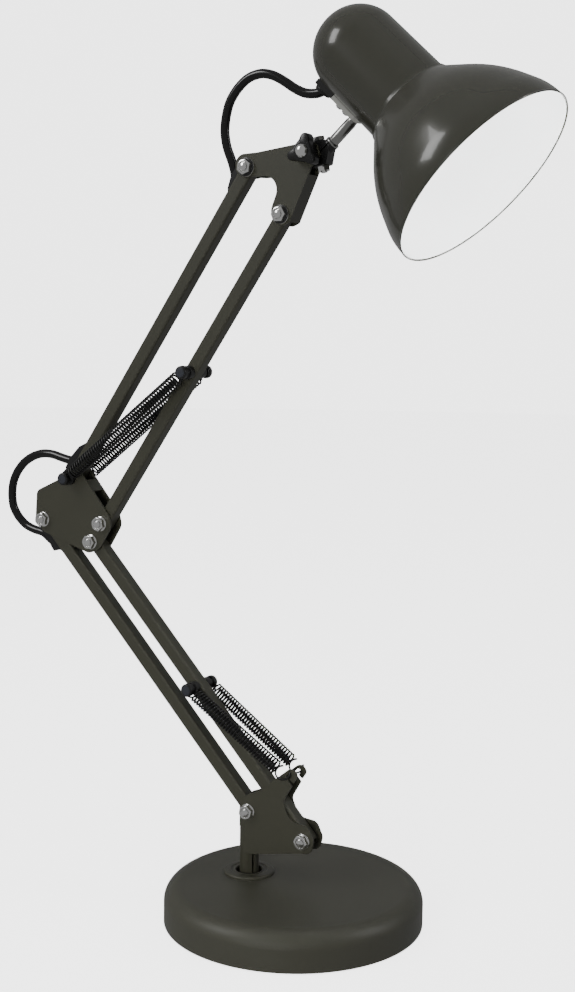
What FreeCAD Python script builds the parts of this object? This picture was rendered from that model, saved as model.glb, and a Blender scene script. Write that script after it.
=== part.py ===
"""Swing arm desk lamp: weighted base, two spring-balanced parallelogram arms and a bell shade.

Millimetres. The origin is the centre of the base's underside, +Z is up and the arms lie in the XZ plane,
with the shade on the +X side. Every driving dimension is a cell of the sheet "dims".
"""
import FreeCAD, Part
import math
import os
import Sketcher
from FreeCAD import Placement, Rotation, Vector

doc = FreeCAD.newDocument("desk_lamp")

# ---------------------------------------------------------------------------------------------
# Driving dimensions
# ---------------------------------------------------------------------------------------------
DIMENSIONS = {
    # base
    "base_radius": 85.0,
    "base_top": 25.5,
    "base_edge_radius": 11.0,
    "cover_wall": 1.5,
    "cover_lip": 1.0,
    "pad_thick": 2.5,
    "pad_radius": 81.5,
    "weight_top": 17.0,
    "weight_radius": 82.8,
    "swivel_x": -34.5,
    "socket_flange_radius": 17.0,
    "socket_flange_thick": 1.8,
    "socket_radius": 10.5,
    "socket_bore": 8.8,
    "bush_bore": 6.45,
    "bush_top": 21.0,
    "spigot_end": 8.0,
    # folded brackets
    "plate_inner": 5.2,
    "plate_outer": 6.4,
    "spigot_slit": 1.2,
    "spigot_slit_turn": -40.0,
    "fold_bottom": 40.5,
    "fold_top": 58.0,
    # square tubes
    "tube_side": 9.5,
    "tube_wall": 1.0,
    "tube_corner": 1.6,
    "tube_overhang": 4.75,
    "link_length": 250.0,
    "lower_angle": 133.5,
    "upper_angle": 55.5,
    # pivots: the lower arm's feet, the upper arm's feet from the lower arm's head, and the head pivots
    "foot_rear_x": -32.0,
    "foot_rear_z": 69.0,
    "foot_front_x": 10.0,
    "foot_front_z": 56.5,
    "elbow_step_x": 8.1,
    "elbow_step_z": 13.2,
    "elbow_span_x": -25.6,
    "elbow_span_z": 30.0,
    # pivot hardware
    "bolt_radius": 2.5,
    "hole_radius": 2.6,
    "bearing_radius": 2.55,
    "open_radius": 2.8,
    "washer_radius": 6.2,
    "flange_radius": 5.3,
    "washer_thick": 0.8,
    "nut_across": 8.8,
    "nut_height": 3.2,
    "spacer_radius": 4.6,
    "spacer_thick": 0.36,
    "spacer_gap": 0.04,
    # springs and their posts
    "spring_radius": 5.0,
    "spring_wire": 1.0,
    "spring_y": 11.6,
    "spring_eye_radius": 5.2,
    "post_head_radius": 4.4,
    "post_groove_radius": 2.9,
    "post_collar_end": 9.2,
    "post_groove_end": 12.6,
    "post_end": 16.2,
    "lower_post_at": 124.0,
    "upper_post_at": 128.5,
    "hook_x": -1.2,
    "hook_ring_y": 8.6,
    "hook_z": 98.6,
    # mains lead and its wedges
    "cable_radius": 3.0,
    "wedge_half_width": 3.7,
    # head joint
    "knuckle_x": 7.6,
    "knuckle_z": 494.0,
    "knuckle_half_width": 4.4,
    "rod_angle": 42.0,
    "rod_radius": 3.5,
    "rod_x": 18.0,
    "rod_z": 497.7,
    "rod_start": -2.5,
    "rod_length": 32.0,
    "tilt_bolt_radius": 2.0,
    "squeeze_bolt_radius": 2.0,
    "squeeze_bolt_x": 12.4,
    "squeeze_bolt_lean": -12.4,
    "knob_near": 8.6,
    "knob_thick": 7.6,
    "knob_lobe_at": 7.9,
    "knob_lobe_radius": 3.1,
    "knob_hub_radius": 6.0,
    # shade: measured back from the centre of its rim, along its axis
    "rim_x": 121.5,
    "rim_z": 474.0,
    "shade_lean": -47.0,
    "rim_radius": 63.8,
    "bell_wall": 1.0,
    "bell_length": 66.5,
    "neck_start": 62.0,
    "neck_radius": 28.7,
    "neck_end_radius": 27.8,
    "neck_end": 142.0,
    "dome_radius": 27.0,
    "neck_wall": 1.2,
    "saddle_thick": 2.4,
    "gland_at": 118.0,
    "holder_radius": 19.5,
    "bulb_thread_radius": 13.3,
}

sheet = doc.addObject("Spreadsheet::Sheet", "dims")
for row, (alias, size) in enumerate(DIMENSIONS.items(), 1):
    sheet.set(f"A{row}", alias)
    sheet.set(f"B{row}", str(size))
    sheet.setAlias(f"B{row}", alias)
doc.recompute()


class Dim:
    """A length or a ratio that knows both its value and the sheet expression that gives it."""

    def __init__(self, value, text):
        self.value = value
        self.text = text

    @staticmethod
    def of(thing):
        return thing if isinstance(thing, Dim) else Dim(float(thing), f"{float(thing)!r}")

    def join(self, other, sign, value):
        return Dim(value, f"({self.text} {sign} {other.text})")

    def __add__(self, other):
        other = Dim.of(other)
        return self.join(other, "+", self.value + other.value)

    def __radd__(self, other):
        return Dim.of(other) + self

    def __sub__(self, other):
        other = Dim.of(other)
        return self.join(other, "-", self.value - other.value)

    def __rsub__(self, other):
        return Dim.of(other) - self

    def __mul__(self, other):
        other = Dim.of(other)
        return self.join(other, "*", self.value * other.value)

    def __rmul__(self, other):
        return Dim.of(other) * self

    def __truediv__(self, other):
        other = Dim.of(other)
        return self.join(other, "/", self.value / other.value)

    def __neg__(self):
        return Dim(-self.value, f"(0 - {self.text})")


def dim(alias):
    return Dim(float(sheet.get(alias)), f"dims.{alias}")


def cos_of(angle):
    return Dim(math.cos(math.radians(angle.value)), f"cos({angle.text} * 1deg)")


def sin_of(angle):
    return Dim(math.sin(math.radians(angle.value)), f"sin({angle.text} * 1deg)")


def bind(thing, name, amount):
    """Set a property to a size, through the sheet where the size comes from it."""
    amount = Dim.of(amount)
    if "dims." in amount.text:
        thing.setExpression(name, amount.text)
    else:
        target, _, last = name.rpartition(".")
        if target:
            thing.setExpression(name, amount.text)
        else:
            setattr(thing, last, amount.value)


def place(thing, x=0, y=0, z=0, turn=None):
    """Put a thing at a point; turn is a Rotation, or an (axis, angle) pair with the angle from the sheet."""
    if isinstance(turn, tuple):
        axis, angle = turn
        thing.Placement = Placement(Vector(0, 0, 0), Rotation(axis, angle.value))
        thing.setExpression("Placement.Rotation.Angle", angle.text)
    else:
        thing.Placement = Placement(Vector(0, 0, 0), turn or Rotation())
    for name, amount in (("x", x), ("y", y), ("z", z)):
        amount = Dim.of(amount)
        if amount.value or "dims." in amount.text:
            thing.setExpression(f"Placement.Base.{name}", amount.text)


ALONG_Y = Rotation(Vector(1, 0, 0), -90)
SIDE_VIEW = Rotation(Vector(1, 0, 0), 90)


def tilt(angle):
    """Turn the local X axis up from +X towards +Z."""
    return (Vector(0, -1, 0), angle)


def named(thing, label):
    thing.Label = label
    return thing


# ---------------------------------------------------------------------------------------------
# Small builders
# ---------------------------------------------------------------------------------------------
def cylinder(label, radius, x, y, z, length, turn=ALONG_Y):
    """A rod from (x, y, z) along the turned axis: along +Y unless turn says otherwise."""
    rod = doc.addObject("Part::Cylinder", label)
    bind(rod, "Radius", radius)
    bind(rod, "Height", length)
    place(rod, x, y, z, turn)
    return rod


def box(label, corner, size, turn=None):
    block = doc.addObject("Part::Box", label)
    for name, amount in zip(("Length", "Width", "Height"), size):
        bind(block, name, amount)
    place(block, *corner, turn)
    return block


def hexagon(label, across, x, y, z, height, turn=ALONG_Y):
    nut = doc.addObject("Part::Prism", label)
    nut.Polygon = 6
    bind(nut, "Circumradius", Dim.of(across) / math.sqrt(3.0))
    bind(nut, "Height", height)
    place(nut, x, y, z, turn)
    return nut


def ball(label, radius, x, y, z):
    sphere = doc.addObject("Part::Sphere", label)
    bind(sphere, "Radius", radius)
    place(sphere, x, y, z)
    return sphere


def cut(label, base, *tools):
    """Base less each tool."""
    tool = tools[0] if len(tools) == 1 else fuse(f"{label}_tools", *tools)
    result = doc.addObject("Part::Cut", label)
    result.Base = base
    result.Tool = tool
    return result


def fuse(label, *parts):
    result = doc.addObject("Part::MultiFuse", label)
    result.Shapes = list(parts)
    return result


def common(label, first, second):
    result = doc.addObject("Part::Common", label)
    result.Base = first
    result.Tool = second
    return result


def group(label, *parts):
    """Several separate solids in one sub-part."""
    result = doc.addObject("Part::Compound", label)
    result.Links = list(parts)
    return result


def fillet_corner(before, corner, after, radius):
    """Tangent points, centre and sense of the arc that rounds a corner of a polygon."""
    into = (corner - before).normalize()
    out = (after - corner).normalize()
    cross = into.x * out.y - into.y * out.x
    turn = math.acos(max(-1.0, min(1.0, into.dot(out))))
    tangent = radius * math.tan(turn / 2)
    first = corner - into * tangent
    last = corner + out * tangent
    side = 1.0 if cross > 0 else -1.0
    centre = first + Vector(-into.y, into.x, 0) * side * radius
    return first, last, centre, cross > 0


def draw_outline(sketch, corners):
    """A closed outline through corners (x, y, radius); a radius of 0 leaves the corner sharp."""
    corners = [tuple(Dim.of(value) for value in corner) for corner in corners]
    spots = [Vector(x.value, y.value, 0) for x, y, _ in corners]
    count = len(corners)
    rounds = {}
    for i, (_, _, radius) in enumerate(corners):
        if radius.value:
            rounds[i] = fillet_corner(spots[i - 1], spots[i], spots[(i + 1) % count], radius.value)
    lines = []
    for i in range(count):
        j = (i + 1) % count
        start = rounds[i][1] if i in rounds else spots[i]
        end = rounds[j][0] if j in rounds else spots[j]
        if (end - start).dot(spots[j] - spots[i]) < 0.01:
            raise ValueError(f"{sketch.Label}: the corners beside side {i} leave no straight run")
        lines.append(sketch.addGeometry(Part.LineSegment(start, end)))
    for i, (x, y, radius) in enumerate(corners):
        before, after = lines[i - 1], lines[i]
        if i in rounds:
            first, last, centre, left_turn = rounds[i]
            start, end = (first, last) if left_turn else (last, first)
            angles = [math.atan2(spot.y - centre.y, spot.x - centre.x) for spot in (start, end)]
            circle = Part.Circle(centre, Vector(0, 0, 1), radius.value)
            arc = sketch.addGeometry(Part.ArcOfCircle(circle, *angles))
            point = sketch.addGeometry(Part.Point(spots[i]), True)
            near, far = (1, 2) if left_turn else (2, 1)
            sketch.addConstraint(Sketcher.Constraint("Tangent", before, 2, arc, near))
            sketch.addConstraint(Sketcher.Constraint("Tangent", after, 1, arc, far))
            sketch.addConstraint(Sketcher.Constraint("PointOnObject", point, 1, before))
            sketch.addConstraint(Sketcher.Constraint("PointOnObject", point, 1, after))
            size = sketch.addConstraint(Sketcher.Constraint("Radius", arc, radius.value))
            if "dims." in radius.text:
                sketch.setExpression(f"Constraints[{size}]", radius.text)
            spot = (point, 1)
        else:
            sketch.addConstraint(Sketcher.Constraint("Coincident", before, 2, after, 1))
            spot = (after, 1)
        for kind, amount in (("DistanceX", x), ("DistanceY", y)):
            index = sketch.addConstraint(Sketcher.Constraint(kind, -1, 1, *spot, amount.value))
            if "dims." in amount.text:
                sketch.setExpression(f"Constraints[{index}]", amount.text)


def side_plate(label, corners, half_width):
    """An outline in the XZ plane, extruded the same amount to both sides."""
    sketch = doc.addObject("Sketcher::SketchObject", f"{label}_sketch")
    sketch.Placement = Placement(Vector(0, 0, 0), SIDE_VIEW)
    draw_outline(sketch, corners)
    solid = doc.addObject("Part::Extrusion", label)
    solid.Base = sketch
    solid.DirMode = "Normal"
    solid.Solid = True
    solid.Symmetric = True
    bind(solid, "LengthFwd", Dim.of(half_width) * 2)
    return solid


def body_plane(body, role):
    return next(item for item in body.Origin.OriginFeatures if item.Role == role)


def body_sketch(body, label, role, corners):
    sketch = body.newObject("Sketcher::SketchObject", label)
    sketch.AttachmentSupport = [(body_plane(body, role), "")]
    sketch.MapMode = "FlatFace"
    draw_outline(sketch, corners)
    return sketch


def turned(label, corners):
    """A body of revolution about its own Z axis from corners (radius, height, corner radius)."""
    body = doc.addObject("PartDesign::Body", label)
    sketch = body_sketch(body, f"{label}_profile", "XZ_Plane", corners)
    spin = body.newObject("PartDesign::Revolution", f"{label}_turning")
    spin.Profile = sketch
    spin.ReferenceAxis = (sketch, ["V_Axis"])
    spin.Angle = 360.0
    return body


NODES = []


def node(label, thing):
    """Keep a finished sub-part under the name of its file."""
    NODES.append(named(thing, label))
    return thing


# ---------------------------------------------------------------------------------------------
# Where the pivots are
# ---------------------------------------------------------------------------------------------
link = dim("link_length")
lower_cos, lower_sin = cos_of(dim("lower_angle")), sin_of(dim("lower_angle"))
upper_cos, upper_sin = cos_of(dim("upper_angle")), sin_of(dim("upper_angle"))

FOOT_REAR = (dim("foot_rear_x"), dim("foot_rear_z"))
FOOT_FRONT = (dim("foot_front_x"), dim("foot_front_z"))
ELBOW_REAR = (FOOT_REAR[0] + link * lower_cos, FOOT_REAR[1] + link * lower_sin)
ELBOW_FRONT = (FOOT_FRONT[0] + link * lower_cos, FOOT_FRONT[1] + link * lower_sin)
ARM_FRONT = (ELBOW_FRONT[0] + dim("elbow_step_x"), ELBOW_FRONT[1] + dim("elbow_step_z"))
ARM_REAR = (ARM_FRONT[0] + dim("elbow_span_x"), ARM_FRONT[1] + dim("elbow_span_z"))
HEAD_FRONT = (ARM_FRONT[0] + link * upper_cos, ARM_FRONT[1] + link * upper_sin)
HEAD_REAR = (ARM_REAR[0] + link * upper_cos, ARM_REAR[1] + link * upper_sin)
KNUCKLE = (dim("knuckle_x"), dim("knuckle_z"))

plate_in, plate_out = dim("plate_inner"), dim("plate_outer")


def offset(spot, dx, dz):
    return (spot[0] + dx, spot[1] + dz)


# ---------------------------------------------------------------------------------------------
# Base: spun cover over a cast weight, with the swivel socket clamped through both
# ---------------------------------------------------------------------------------------------
base_top = dim("base_top")
wall = dim("cover_wall")
cover_inner = dim("base_radius") - wall
socket_hole = dim("socket_radius") + 0.1

cover = turned(
    "cover_shell",
    [
        (0, base_top, 0),
        (dim("base_radius"), base_top, dim("base_edge_radius")),
        (dim("base_radius"), dim("cover_lip"), 0),
        (cover_inner, dim("cover_lip"), 0),
        (cover_inner, base_top - wall, dim("base_edge_radius") - wall),
        (0, base_top - wall, 0),
    ],
)
cover_hole = cylinder("cover_hole", socket_hole, dim("swivel_x"), 0, 0, 40, Rotation())
node("base_cover", cut("base_cover_cut", cover, cover_hole))

weight_plate = turned(
    "weight_disc",
    [
        (0, dim("pad_thick"), 0),
        (dim("weight_radius"), dim("pad_thick"), 1.0),
        (dim("weight_radius"), dim("weight_top"), 10.0),
        (0, dim("weight_top"), 0),
    ],
)
boss_rise = base_top - wall - 0.02 - 10
weight_boss = cylinder("weight_boss", 20.0, dim("swivel_x"), 0, 10, boss_rise, Rotation())
weight = fuse("weight_whole", weight_plate, weight_boss)
weight_bore = cylinder("weight_bore", socket_hole, dim("swivel_x"), 0, 0, 40, Rotation())
nut_pocket = cylinder("nut_pocket", 17.5, dim("swivel_x"), 0, 0, 9.0, Rotation())
node("base_weight", cut("base_weight_cut", weight, weight_bore, nut_pocket))

pad = cylinder("pad_disc", dim("pad_radius"), 0, 0, 0, dim("pad_thick"), Rotation())
pad_hole = cylinder("pad_hole", 17.5, dim("swivel_x"), 0, -1, 8, Rotation())
node("base_pad", cut("base_pad_cut", pad, pad_hole))

flange_top = base_top + dim("socket_flange_thick")
socket = turned(
    "socket_turned",
    [
        (dim("socket_bore"), 3.0, 0),
        (dim("socket_radius"), 3.0, 0),
        (dim("socket_radius"), base_top, 0),
        (dim("socket_flange_radius"), base_top, 0),
        (dim("socket_flange_radius"), flange_top, 1.2),
        (dim("socket_bore"), flange_top, 0.8),
    ],
)
place(socket, dim("swivel_x"))
node("swivel_socket", socket)

socket_nut = hexagon("socket_nut_blank", 28.0, dim("swivel_x"), 0, 3.2, 5.6, Rotation())
socket_nut_bore = cylinder("socket_nut_bore", socket_hole, dim("swivel_x"), 0, 0, 20, Rotation())
node("socket_nut", cut("socket_nut_cut", socket_nut, socket_nut_bore))

bush = turned(
    "bush_turned",
    [
        (0, 4.5, 0),
        (dim("socket_bore") - 0.05, 4.5, 0),
        (dim("socket_bore") - 0.05, dim("bush_top"), 0.6),
        (dim("bush_bore"), dim("bush_top"), 0.6),
        (dim("bush_bore"), dim("spigot_end") - 0.1, 0),
        (0, dim("spigot_end") - 0.1, 0),
    ],
)
place(bush, dim("swivel_x"))
node("swivel_bush", bush)

# ---------------------------------------------------------------------------------------------
# Base bracket: one sheet folded round the spigot, with two ears and two spring hooks on each side
# ---------------------------------------------------------------------------------------------
bracket_left = dim("swivel_x") - plate_out
hook_x, hook_z = dim("hook_x"), dim("hook_z")
bracket_outline = side_plate(
    "bracket_outline",
    [
        (bracket_left, dim("fold_bottom"), 0),
        (FOOT_REAR[0] + 4.0, dim("fold_bottom"), 1.0),
        (FOOT_FRONT[0] - 1.5, FOOT_FRONT[1] - 8.4, 4.0),
        (FOOT_FRONT[0] + 6.0, FOOT_FRONT[1] - 7.8, 5.0),
        (FOOT_FRONT[0] + 8.2, FOOT_FRONT[1] + 1.2, 5.5),
        (FOOT_FRONT[0] + 3.6, FOOT_FRONT[1] + 10.6, 5.5),
        (FOOT_FRONT[0] - 10.0, FOOT_FRONT[1] + 11.6, 9.0),
        (hook_x - 4.2, hook_z - 18.5, 5.0),
        (hook_x + 2.6, hook_z - 6.8, 0.6),
        (hook_x - 0.6, hook_z - 3.6, 0),
        (hook_x - 2.6, hook_z - 1.0, 1.2),
        (hook_x + 0.4, hook_z + 2.2, 1.4),
        (hook_x + 3.0, hook_z + 0.6, 1.2),
        (hook_x + 0.8, hook_z - 2.4, 0),
        (hook_x + 3.6, hook_z - 4.6, 0.6),
        (hook_x + 7.0, hook_z + 0.6, 3.0),
        (hook_x + 2.4, hook_z + 6.0, 4.4),
        (hook_x - 8.0, hook_z - 2.4, 2.0),
        (FOOT_REAR[0] + 8.0, FOOT_REAR[1] + 14.8, 2.0),
        (FOOT_REAR[0] - 6.4, FOOT_REAR[1] + 9.0, 6.0),
        (FOOT_REAR[0] - 6.4, dim("fold_top"), 0),
        (bracket_left, dim("fold_top"), 0),
    ],
    plate_out,
)
fold_height = 90.0
fold_outside = cylinder(
    "fold_outside", plate_out, dim("swivel_x"), 0, dim("fold_bottom") - 1, fold_height, Rotation()
)
plate_slab = box(
    "plate_slab", (dim("swivel_x"), -plate_out, dim("fold_bottom") - 1), (80, plate_out * 2, fold_height)
)
channel_outside = fuse("channel_outside", fold_outside, plate_slab)
# above the fold the two sheets are flat and open at the back
flat_back = box("flat_back", (bracket_left - 1, -plate_out, dim("fold_top")), (20, plate_out * 2, 60))
channel_blank = common(
    "channel_blank", bracket_outline, fuse("channel_keep", channel_outside, flat_back)
)
fold_inside = cylinder("fold_inside", plate_in, dim("swivel_x"), 0, 0, 140, Rotation())
channel_gap = box("channel_gap", (dim("swivel_x"), -plate_in, 0), (90, plate_in * 2, 140))
back_window = box("back_window", (bracket_left - 2, -plate_in, dim("fold_top")), (30, plate_in * 2, 80))
bracket_holes = [
    cylinder(f"bracket_hole_{name}", dim("hole_radius"), spot[0], -20, spot[1], 40)
    for name, spot in (("rear", FOOT_REAR), ("front", FOOT_FRONT))
]
channel = cut("channel", channel_blank, fold_inside, channel_gap, back_window, *bracket_holes)

spigot_rise = dim("fold_bottom") + 0.5 - dim("spigot_end")
spigot_outside = cylinder(
    "spigot_outside", plate_out, dim("swivel_x"), 0, dim("spigot_end"), spigot_rise, Rotation()
)
spigot_inside = cylinder("spigot_inside", plate_in, dim("swivel_x"), 0, 0, 60, Rotation())
slit = box(
    "spigot_seam",
    (dim("swivel_x"), 0, 0),
    (12, dim("spigot_slit"), 60),
    (Vector(0, 0, 1), dim("spigot_slit_turn")),
)
spigot = cut("spigot", spigot_outside, spigot_inside, slit)
node("base_bracket", fuse("base_bracket_sheet", channel, spigot))


# ---------------------------------------------------------------------------------------------
# Pivot hardware: hexagon-head bolts from behind, with a nut and a washer on each face
# ---------------------------------------------------------------------------------------------
washer_out = plate_out + dim("washer_thick")
nut_out = washer_out + dim("nut_height")


def pivot_bolt(label, spot):
    shank = cylinder(
        f"{label}_shank", dim("bolt_radius"), spot[0], -(nut_out + 0.9), spot[1], nut_out + 0.9 + washer_out
    )
    head = hexagon(f"{label}_head", dim("nut_across"), spot[0], washer_out, spot[1], 3.5)
    return fuse(label, shank, head)


def pivot_nut(label, spot):
    blank = hexagon(f"{label}_blank", dim("nut_across"), spot[0], -nut_out, spot[1], dim("nut_height"))
    bore = cylinder(f"{label}_bore", dim("bolt_radius") + 0.02, spot[0], -20, spot[1], 40)
    return cut(label, blank, bore)


def ring(label, radius, bore, spot, y, thick):
    disc = cylinder(f"{label}_disc", radius, spot[0], y, spot[1], thick)
    hole = cylinder(f"{label}_hole", bore, spot[0], -20, spot[1], 40)
    return cut(label, disc, hole)


def washer_pair(label, radius, spot):
    thick = dim("washer_thick")
    return [
        ring(f"{label}_near", radius, dim("hole_radius"), spot, -washer_out, thick),
        ring(f"{label}_far", radius, dim("hole_radius"), spot, plate_out, thick),
    ]


def fasten(prefix, washer_radius, spots):
    """Bolts, nuts and washers of one bracket, each kind in one sub-part."""
    labels = [f"{prefix}_{name}" for name in spots]
    bolts = [pivot_bolt(f"{label}_bolt", spot) for label, spot in zip(labels, spots.values())]
    nuts = [pivot_nut(f"{label}_nut", spot) for label, spot in zip(labels, spots.values())]
    washers = []
    for label, spot in zip(labels, spots.values()):
        washers += washer_pair(f"{label}_washer", washer_radius, spot)
    node(f"{prefix}_pivot_bolts", group(f"{prefix}_bolt_set", *bolts))
    node(f"{prefix}_pivot_nuts", group(f"{prefix}_nut_set", *nuts))
    node(f"{prefix}_washers", group(f"{prefix}_washer_set", *washers))


fasten("base", dim("flange_radius"), {"rear": FOOT_REAR, "front": FOOT_FRONT})
fasten("elbow", dim("flange_radius"), {"rear": ELBOW_REAR, "front": ELBOW_FRONT, "arm": ARM_FRONT})
fasten("head", dim("washer_radius"), {"rear": HEAD_REAR, "front": HEAD_FRONT})


# ---------------------------------------------------------------------------------------------
# Links: square tubes with rounded ends, drilled for their pivots
# ---------------------------------------------------------------------------------------------
half_side = dim("tube_side") / 2
overhang = dim("tube_overhang")


def link_blank(label, half, corner, end, reach):
    """A bar along local X with rounded corners, rounded off about its pivots in the side view."""
    body = doc.addObject("PartDesign::Body", label)
    section = body_sketch(
        body,
        f"{label}_section",
        "YZ_Plane",
        [(-half, -half, corner), (half, -half, corner), (half, half, corner), (-half, half, corner)],
    )
    bar = body.newObject("PartDesign::Pad", f"{label}_bar")
    bar.Profile = section
    bar.Midplane = True
    bind(bar, "Length", (link + reach * 2) + link)
    sides = side_plate(
        f"{label}_sides",
        [(-reach, -half, end), (link + reach, -half, end), (link + reach, half, end), (-reach, half, end)],
        20,
    )
    return common(f"{label}_rounded", body, sides)


def link_tube(label, start, angle, tool_list, post_at=None):
    """One link: a hollow square tube with its two pivot holes, less whatever tool_list cuts.

    A link with a spring post is the front one of its pair, whose far hole is the open pivot.
    """
    outside = link_blank(f"{label}_outside", half_side, dim("tube_corner"), half_side - 0.05, overhang)
    hollow_half = half_side - dim("tube_wall")
    hollow = box(
        f"{label}_hollow",
        (-20, -hollow_half, -hollow_half),
        (link + 40, hollow_half * 2, hollow_half * 2),
    )
    far_bore = dim("bearing_radius") if post_at is None else dim("open_radius")
    holes = [
        cylinder(f"{label}_hole_near", dim("bearing_radius"), 0, -20, 0, 40),
        cylinder(f"{label}_hole_far", far_bore, link, -20, 0, 40),
    ]
    if post_at is not None:
        holes.append(cylinder(f"{label}_hole_post", dim("bearing_radius"), post_at, -20, 0, 40))
    tube = cut(f"{label}_tube_cut", outside, hollow, *holes, *tool_list)
    place(tube, start[0], 0, start[1], tilt(angle))
    return tube


def spacer_set(label, start, angle):
    """Four thin nylon washers, one on each side of each end of a link."""
    rings = []
    near_y = half_side + dim("spacer_gap")
    for end_name, along in (("near", Dim.of(0)), ("far", link)):
        for side_name, y in (("front", -(near_y + dim("spacer_thick"))), ("back", near_y)):
            name = f"{label}_{end_name}_{side_name}"
            disc = cylinder(f"{name}_disc", dim("spacer_radius"), along, y, 0, dim("spacer_thick"))
            hole = cylinder(f"{name}_bore", dim("open_radius"), along, -20, 0, 40)
            rings.append(cut(name, disc, hole))
    pack = group(f"{label}_rings", *rings)
    place(pack, start[0], 0, start[1], tilt(angle))
    return pack


def route(*spots):
    """The edges of a smooth path in the XZ plane: one straight run per pair of spots, with tangent arcs."""
    points = [Vector(x, 0, z) for x, z in spots]
    straights, arcs = [], []
    cursor = points[0]
    for before, corner, after in zip(points, points[1:], points[2:]):
        into = (corner - before).normalize()
        out = (after - corner).normalize()
        turn = math.acos(max(-1.0, min(1.0, into.dot(out))))
        reach = 0.45 * min((corner - before).Length, (after - corner).Length)
        radius = reach / math.tan(turn / 2)
        first, last = corner - into * reach, corner + out * reach
        middle = corner + (out - into).normalize() * (radius / math.cos(turn / 2) - radius)
        straights.append((cursor, first))
        arcs.append((first, middle, last))
        print(f"    turn {math.degrees(turn):.0f} degrees, arc radius {radius:.1f}")
        cursor = last
    straights.append((cursor, points[-1]))
    return straights, arcs


def stretch(path, first_run, last_run, from_middle=True, to_middle=True):
    """The part of a route from one run to another, starting and ending half way along them."""
    straights, arcs = path
    edges = []
    for run in range(first_run, last_run + 1):
        start, end = straights[run]
        if run == first_run and from_middle:
            start = (start + end) * 0.5
        if run == last_run and to_middle:
            end = (start + end) * 0.5
        edges.append(Part.LineSegment(start, end).toShape())
        if run < last_run:
            edges.append(Part.Arc(*arcs[run]).toShape())
    return Part.Wire(edges)


def sweep(path, radius):
    start = path.Edges[0].valueAt(path.Edges[0].FirstParameter)
    heading = path.Edges[0].tangentAt(path.Edges[0].FirstParameter)
    section = Part.Wire([Part.Circle(start, heading, radius).toShape()])
    return path.makePipeShell([section], True, False)


def solid_feature(label, shape):
    feature = doc.addObject("Part::Feature", label)
    feature.Shape = shape
    return feature


def lead(label, path):
    """One stretch of the round mains lead."""
    radius = dim("cable_radius").value
    shape = sweep(path, radius)
    ratio = shape.Volume / (math.pi * radius**2 * path.Length)
    print(f"  {label}: length {path.Length:.1f}, volume against section times length {ratio:.4f}")
    return node(label, solid_feature(f"{label}_lead", shape))


def on_link(start, angle, along, out):
    """A point along a link and out from its back, as plain numbers."""
    turn = math.radians(angle.value)
    x = start[0].value + along * math.cos(turn) - out * math.sin(turn)
    z = start[1].value + along * math.sin(turn) + out * math.cos(turn)
    return (x, z)


def in_shade(out, back):
    """A point out from the shade's axis towards its upper side and back from its rim."""
    turn = math.radians(dim("shade_lean").value)
    x = dim("rim_x").value + out * math.cos(turn) + back * math.sin(turn)
    z = dim("rim_z").value - out * math.sin(turn) + back * math.cos(turn)
    return (x, z)


# The lead runs up inside the rear lower tube, out round the elbow, up inside the rear upper tube and out
# again in a loop to the shade's neck.
LOWER, UPPER = (FOOT_REAR, dim("lower_angle")), (ARM_REAR, dim("upper_angle"))
print("mains lead")
whole_route = route(
    on_link(*LOWER, 24, 0),
    on_link(*LOWER, 219, 0),
    on_link(*LOWER, 236, 9.0),
    (-209.2, 240.0),
    (-217.6, 241.0),
    (-226.1, 243.9),
    (-233.0, 249.6),
    (-237.5, 256.5),
    (-238.6, 265.2),
    (-237.3, 274.3),
    (-233.4, 281.8),
    (-227.2, 288.7),
    (-218.8, 293.8),
    (-209.6, 296.4),
    (-200.6, 296.2),
    (-191.6, 293.9),
    on_link(*UPPER, 7, 10),
    on_link(*UPPER, 13, 3),
    on_link(*UPPER, 25, 0),
    on_link(*UPPER, 217, 0),
    on_link(*UPPER, 231, 1.6),
    on_link(*UPPER, 240.5, 8.2),
    (-52.5, 491.5),
    (-56.9, 501.2),
    (-58.6, 511.1),
    (-57.6, 519.8),
    (-55.0, 529.1),
    (-48.7, 537.4),
    (-40.6, 543.4),
    (-31.0, 545.2),
    (-22.9, 543.4),
    (-14.9, 539.3),
    (-6.6, 533.7),
    (1.5, 530.2),
    in_shade(-33.5, 118),
    in_shade(-15, 116.5),
    in_shade(-3, 108),
    in_shade(0, 98.9),
)
lead("cable_lower_run", stretch(whole_route, 0, 3, from_middle=False))
lead("cable_lower_loop", stretch(whole_route, 3, 14))
lead("cable_upper_run", stretch(whole_route, 14, 21))
lead("cable_upper_loop", stretch(whole_route, 21, 33))
lead("cable_head_run", stretch(whole_route, 33, 36, to_middle=False))

# Each wired tube has slots in its back, and a moulded rubber guide that leads the lead into each of them.
SLOT_HALF = 3.3


def slot(label, first, last):
    return box(label, (first, -SLOT_HALF, 3.0), (last - first, SLOT_HALF * 2, 4.0))


def guide(label, link_at, outline, first_run, last_run):
    """A rubber guide on a tube's back, bored along the lead's route."""
    start, angle = link_at
    block = side_plate(f"{label}_block", outline, dim("wedge_half_width"))
    outer = doc.addObject("Part::Compound", f"{label}_placed")
    outer.Links = [block]
    place(outer, start[0], 0, start[1], tilt(angle))
    bore_path = stretch(whole_route, first_run, last_run)
    bore = solid_feature(f"{label}_bore", sweep(bore_path, dim("cable_radius").value + 0.05))
    return node(label, cut(f"{label}_cut", outer, bore))


back = half_side + 0.02
LOWER_SLOT = (218.0, 236.5)
UPPER_SLOTS = ((5.5, 20.0), (223.5, 243.0))

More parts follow.
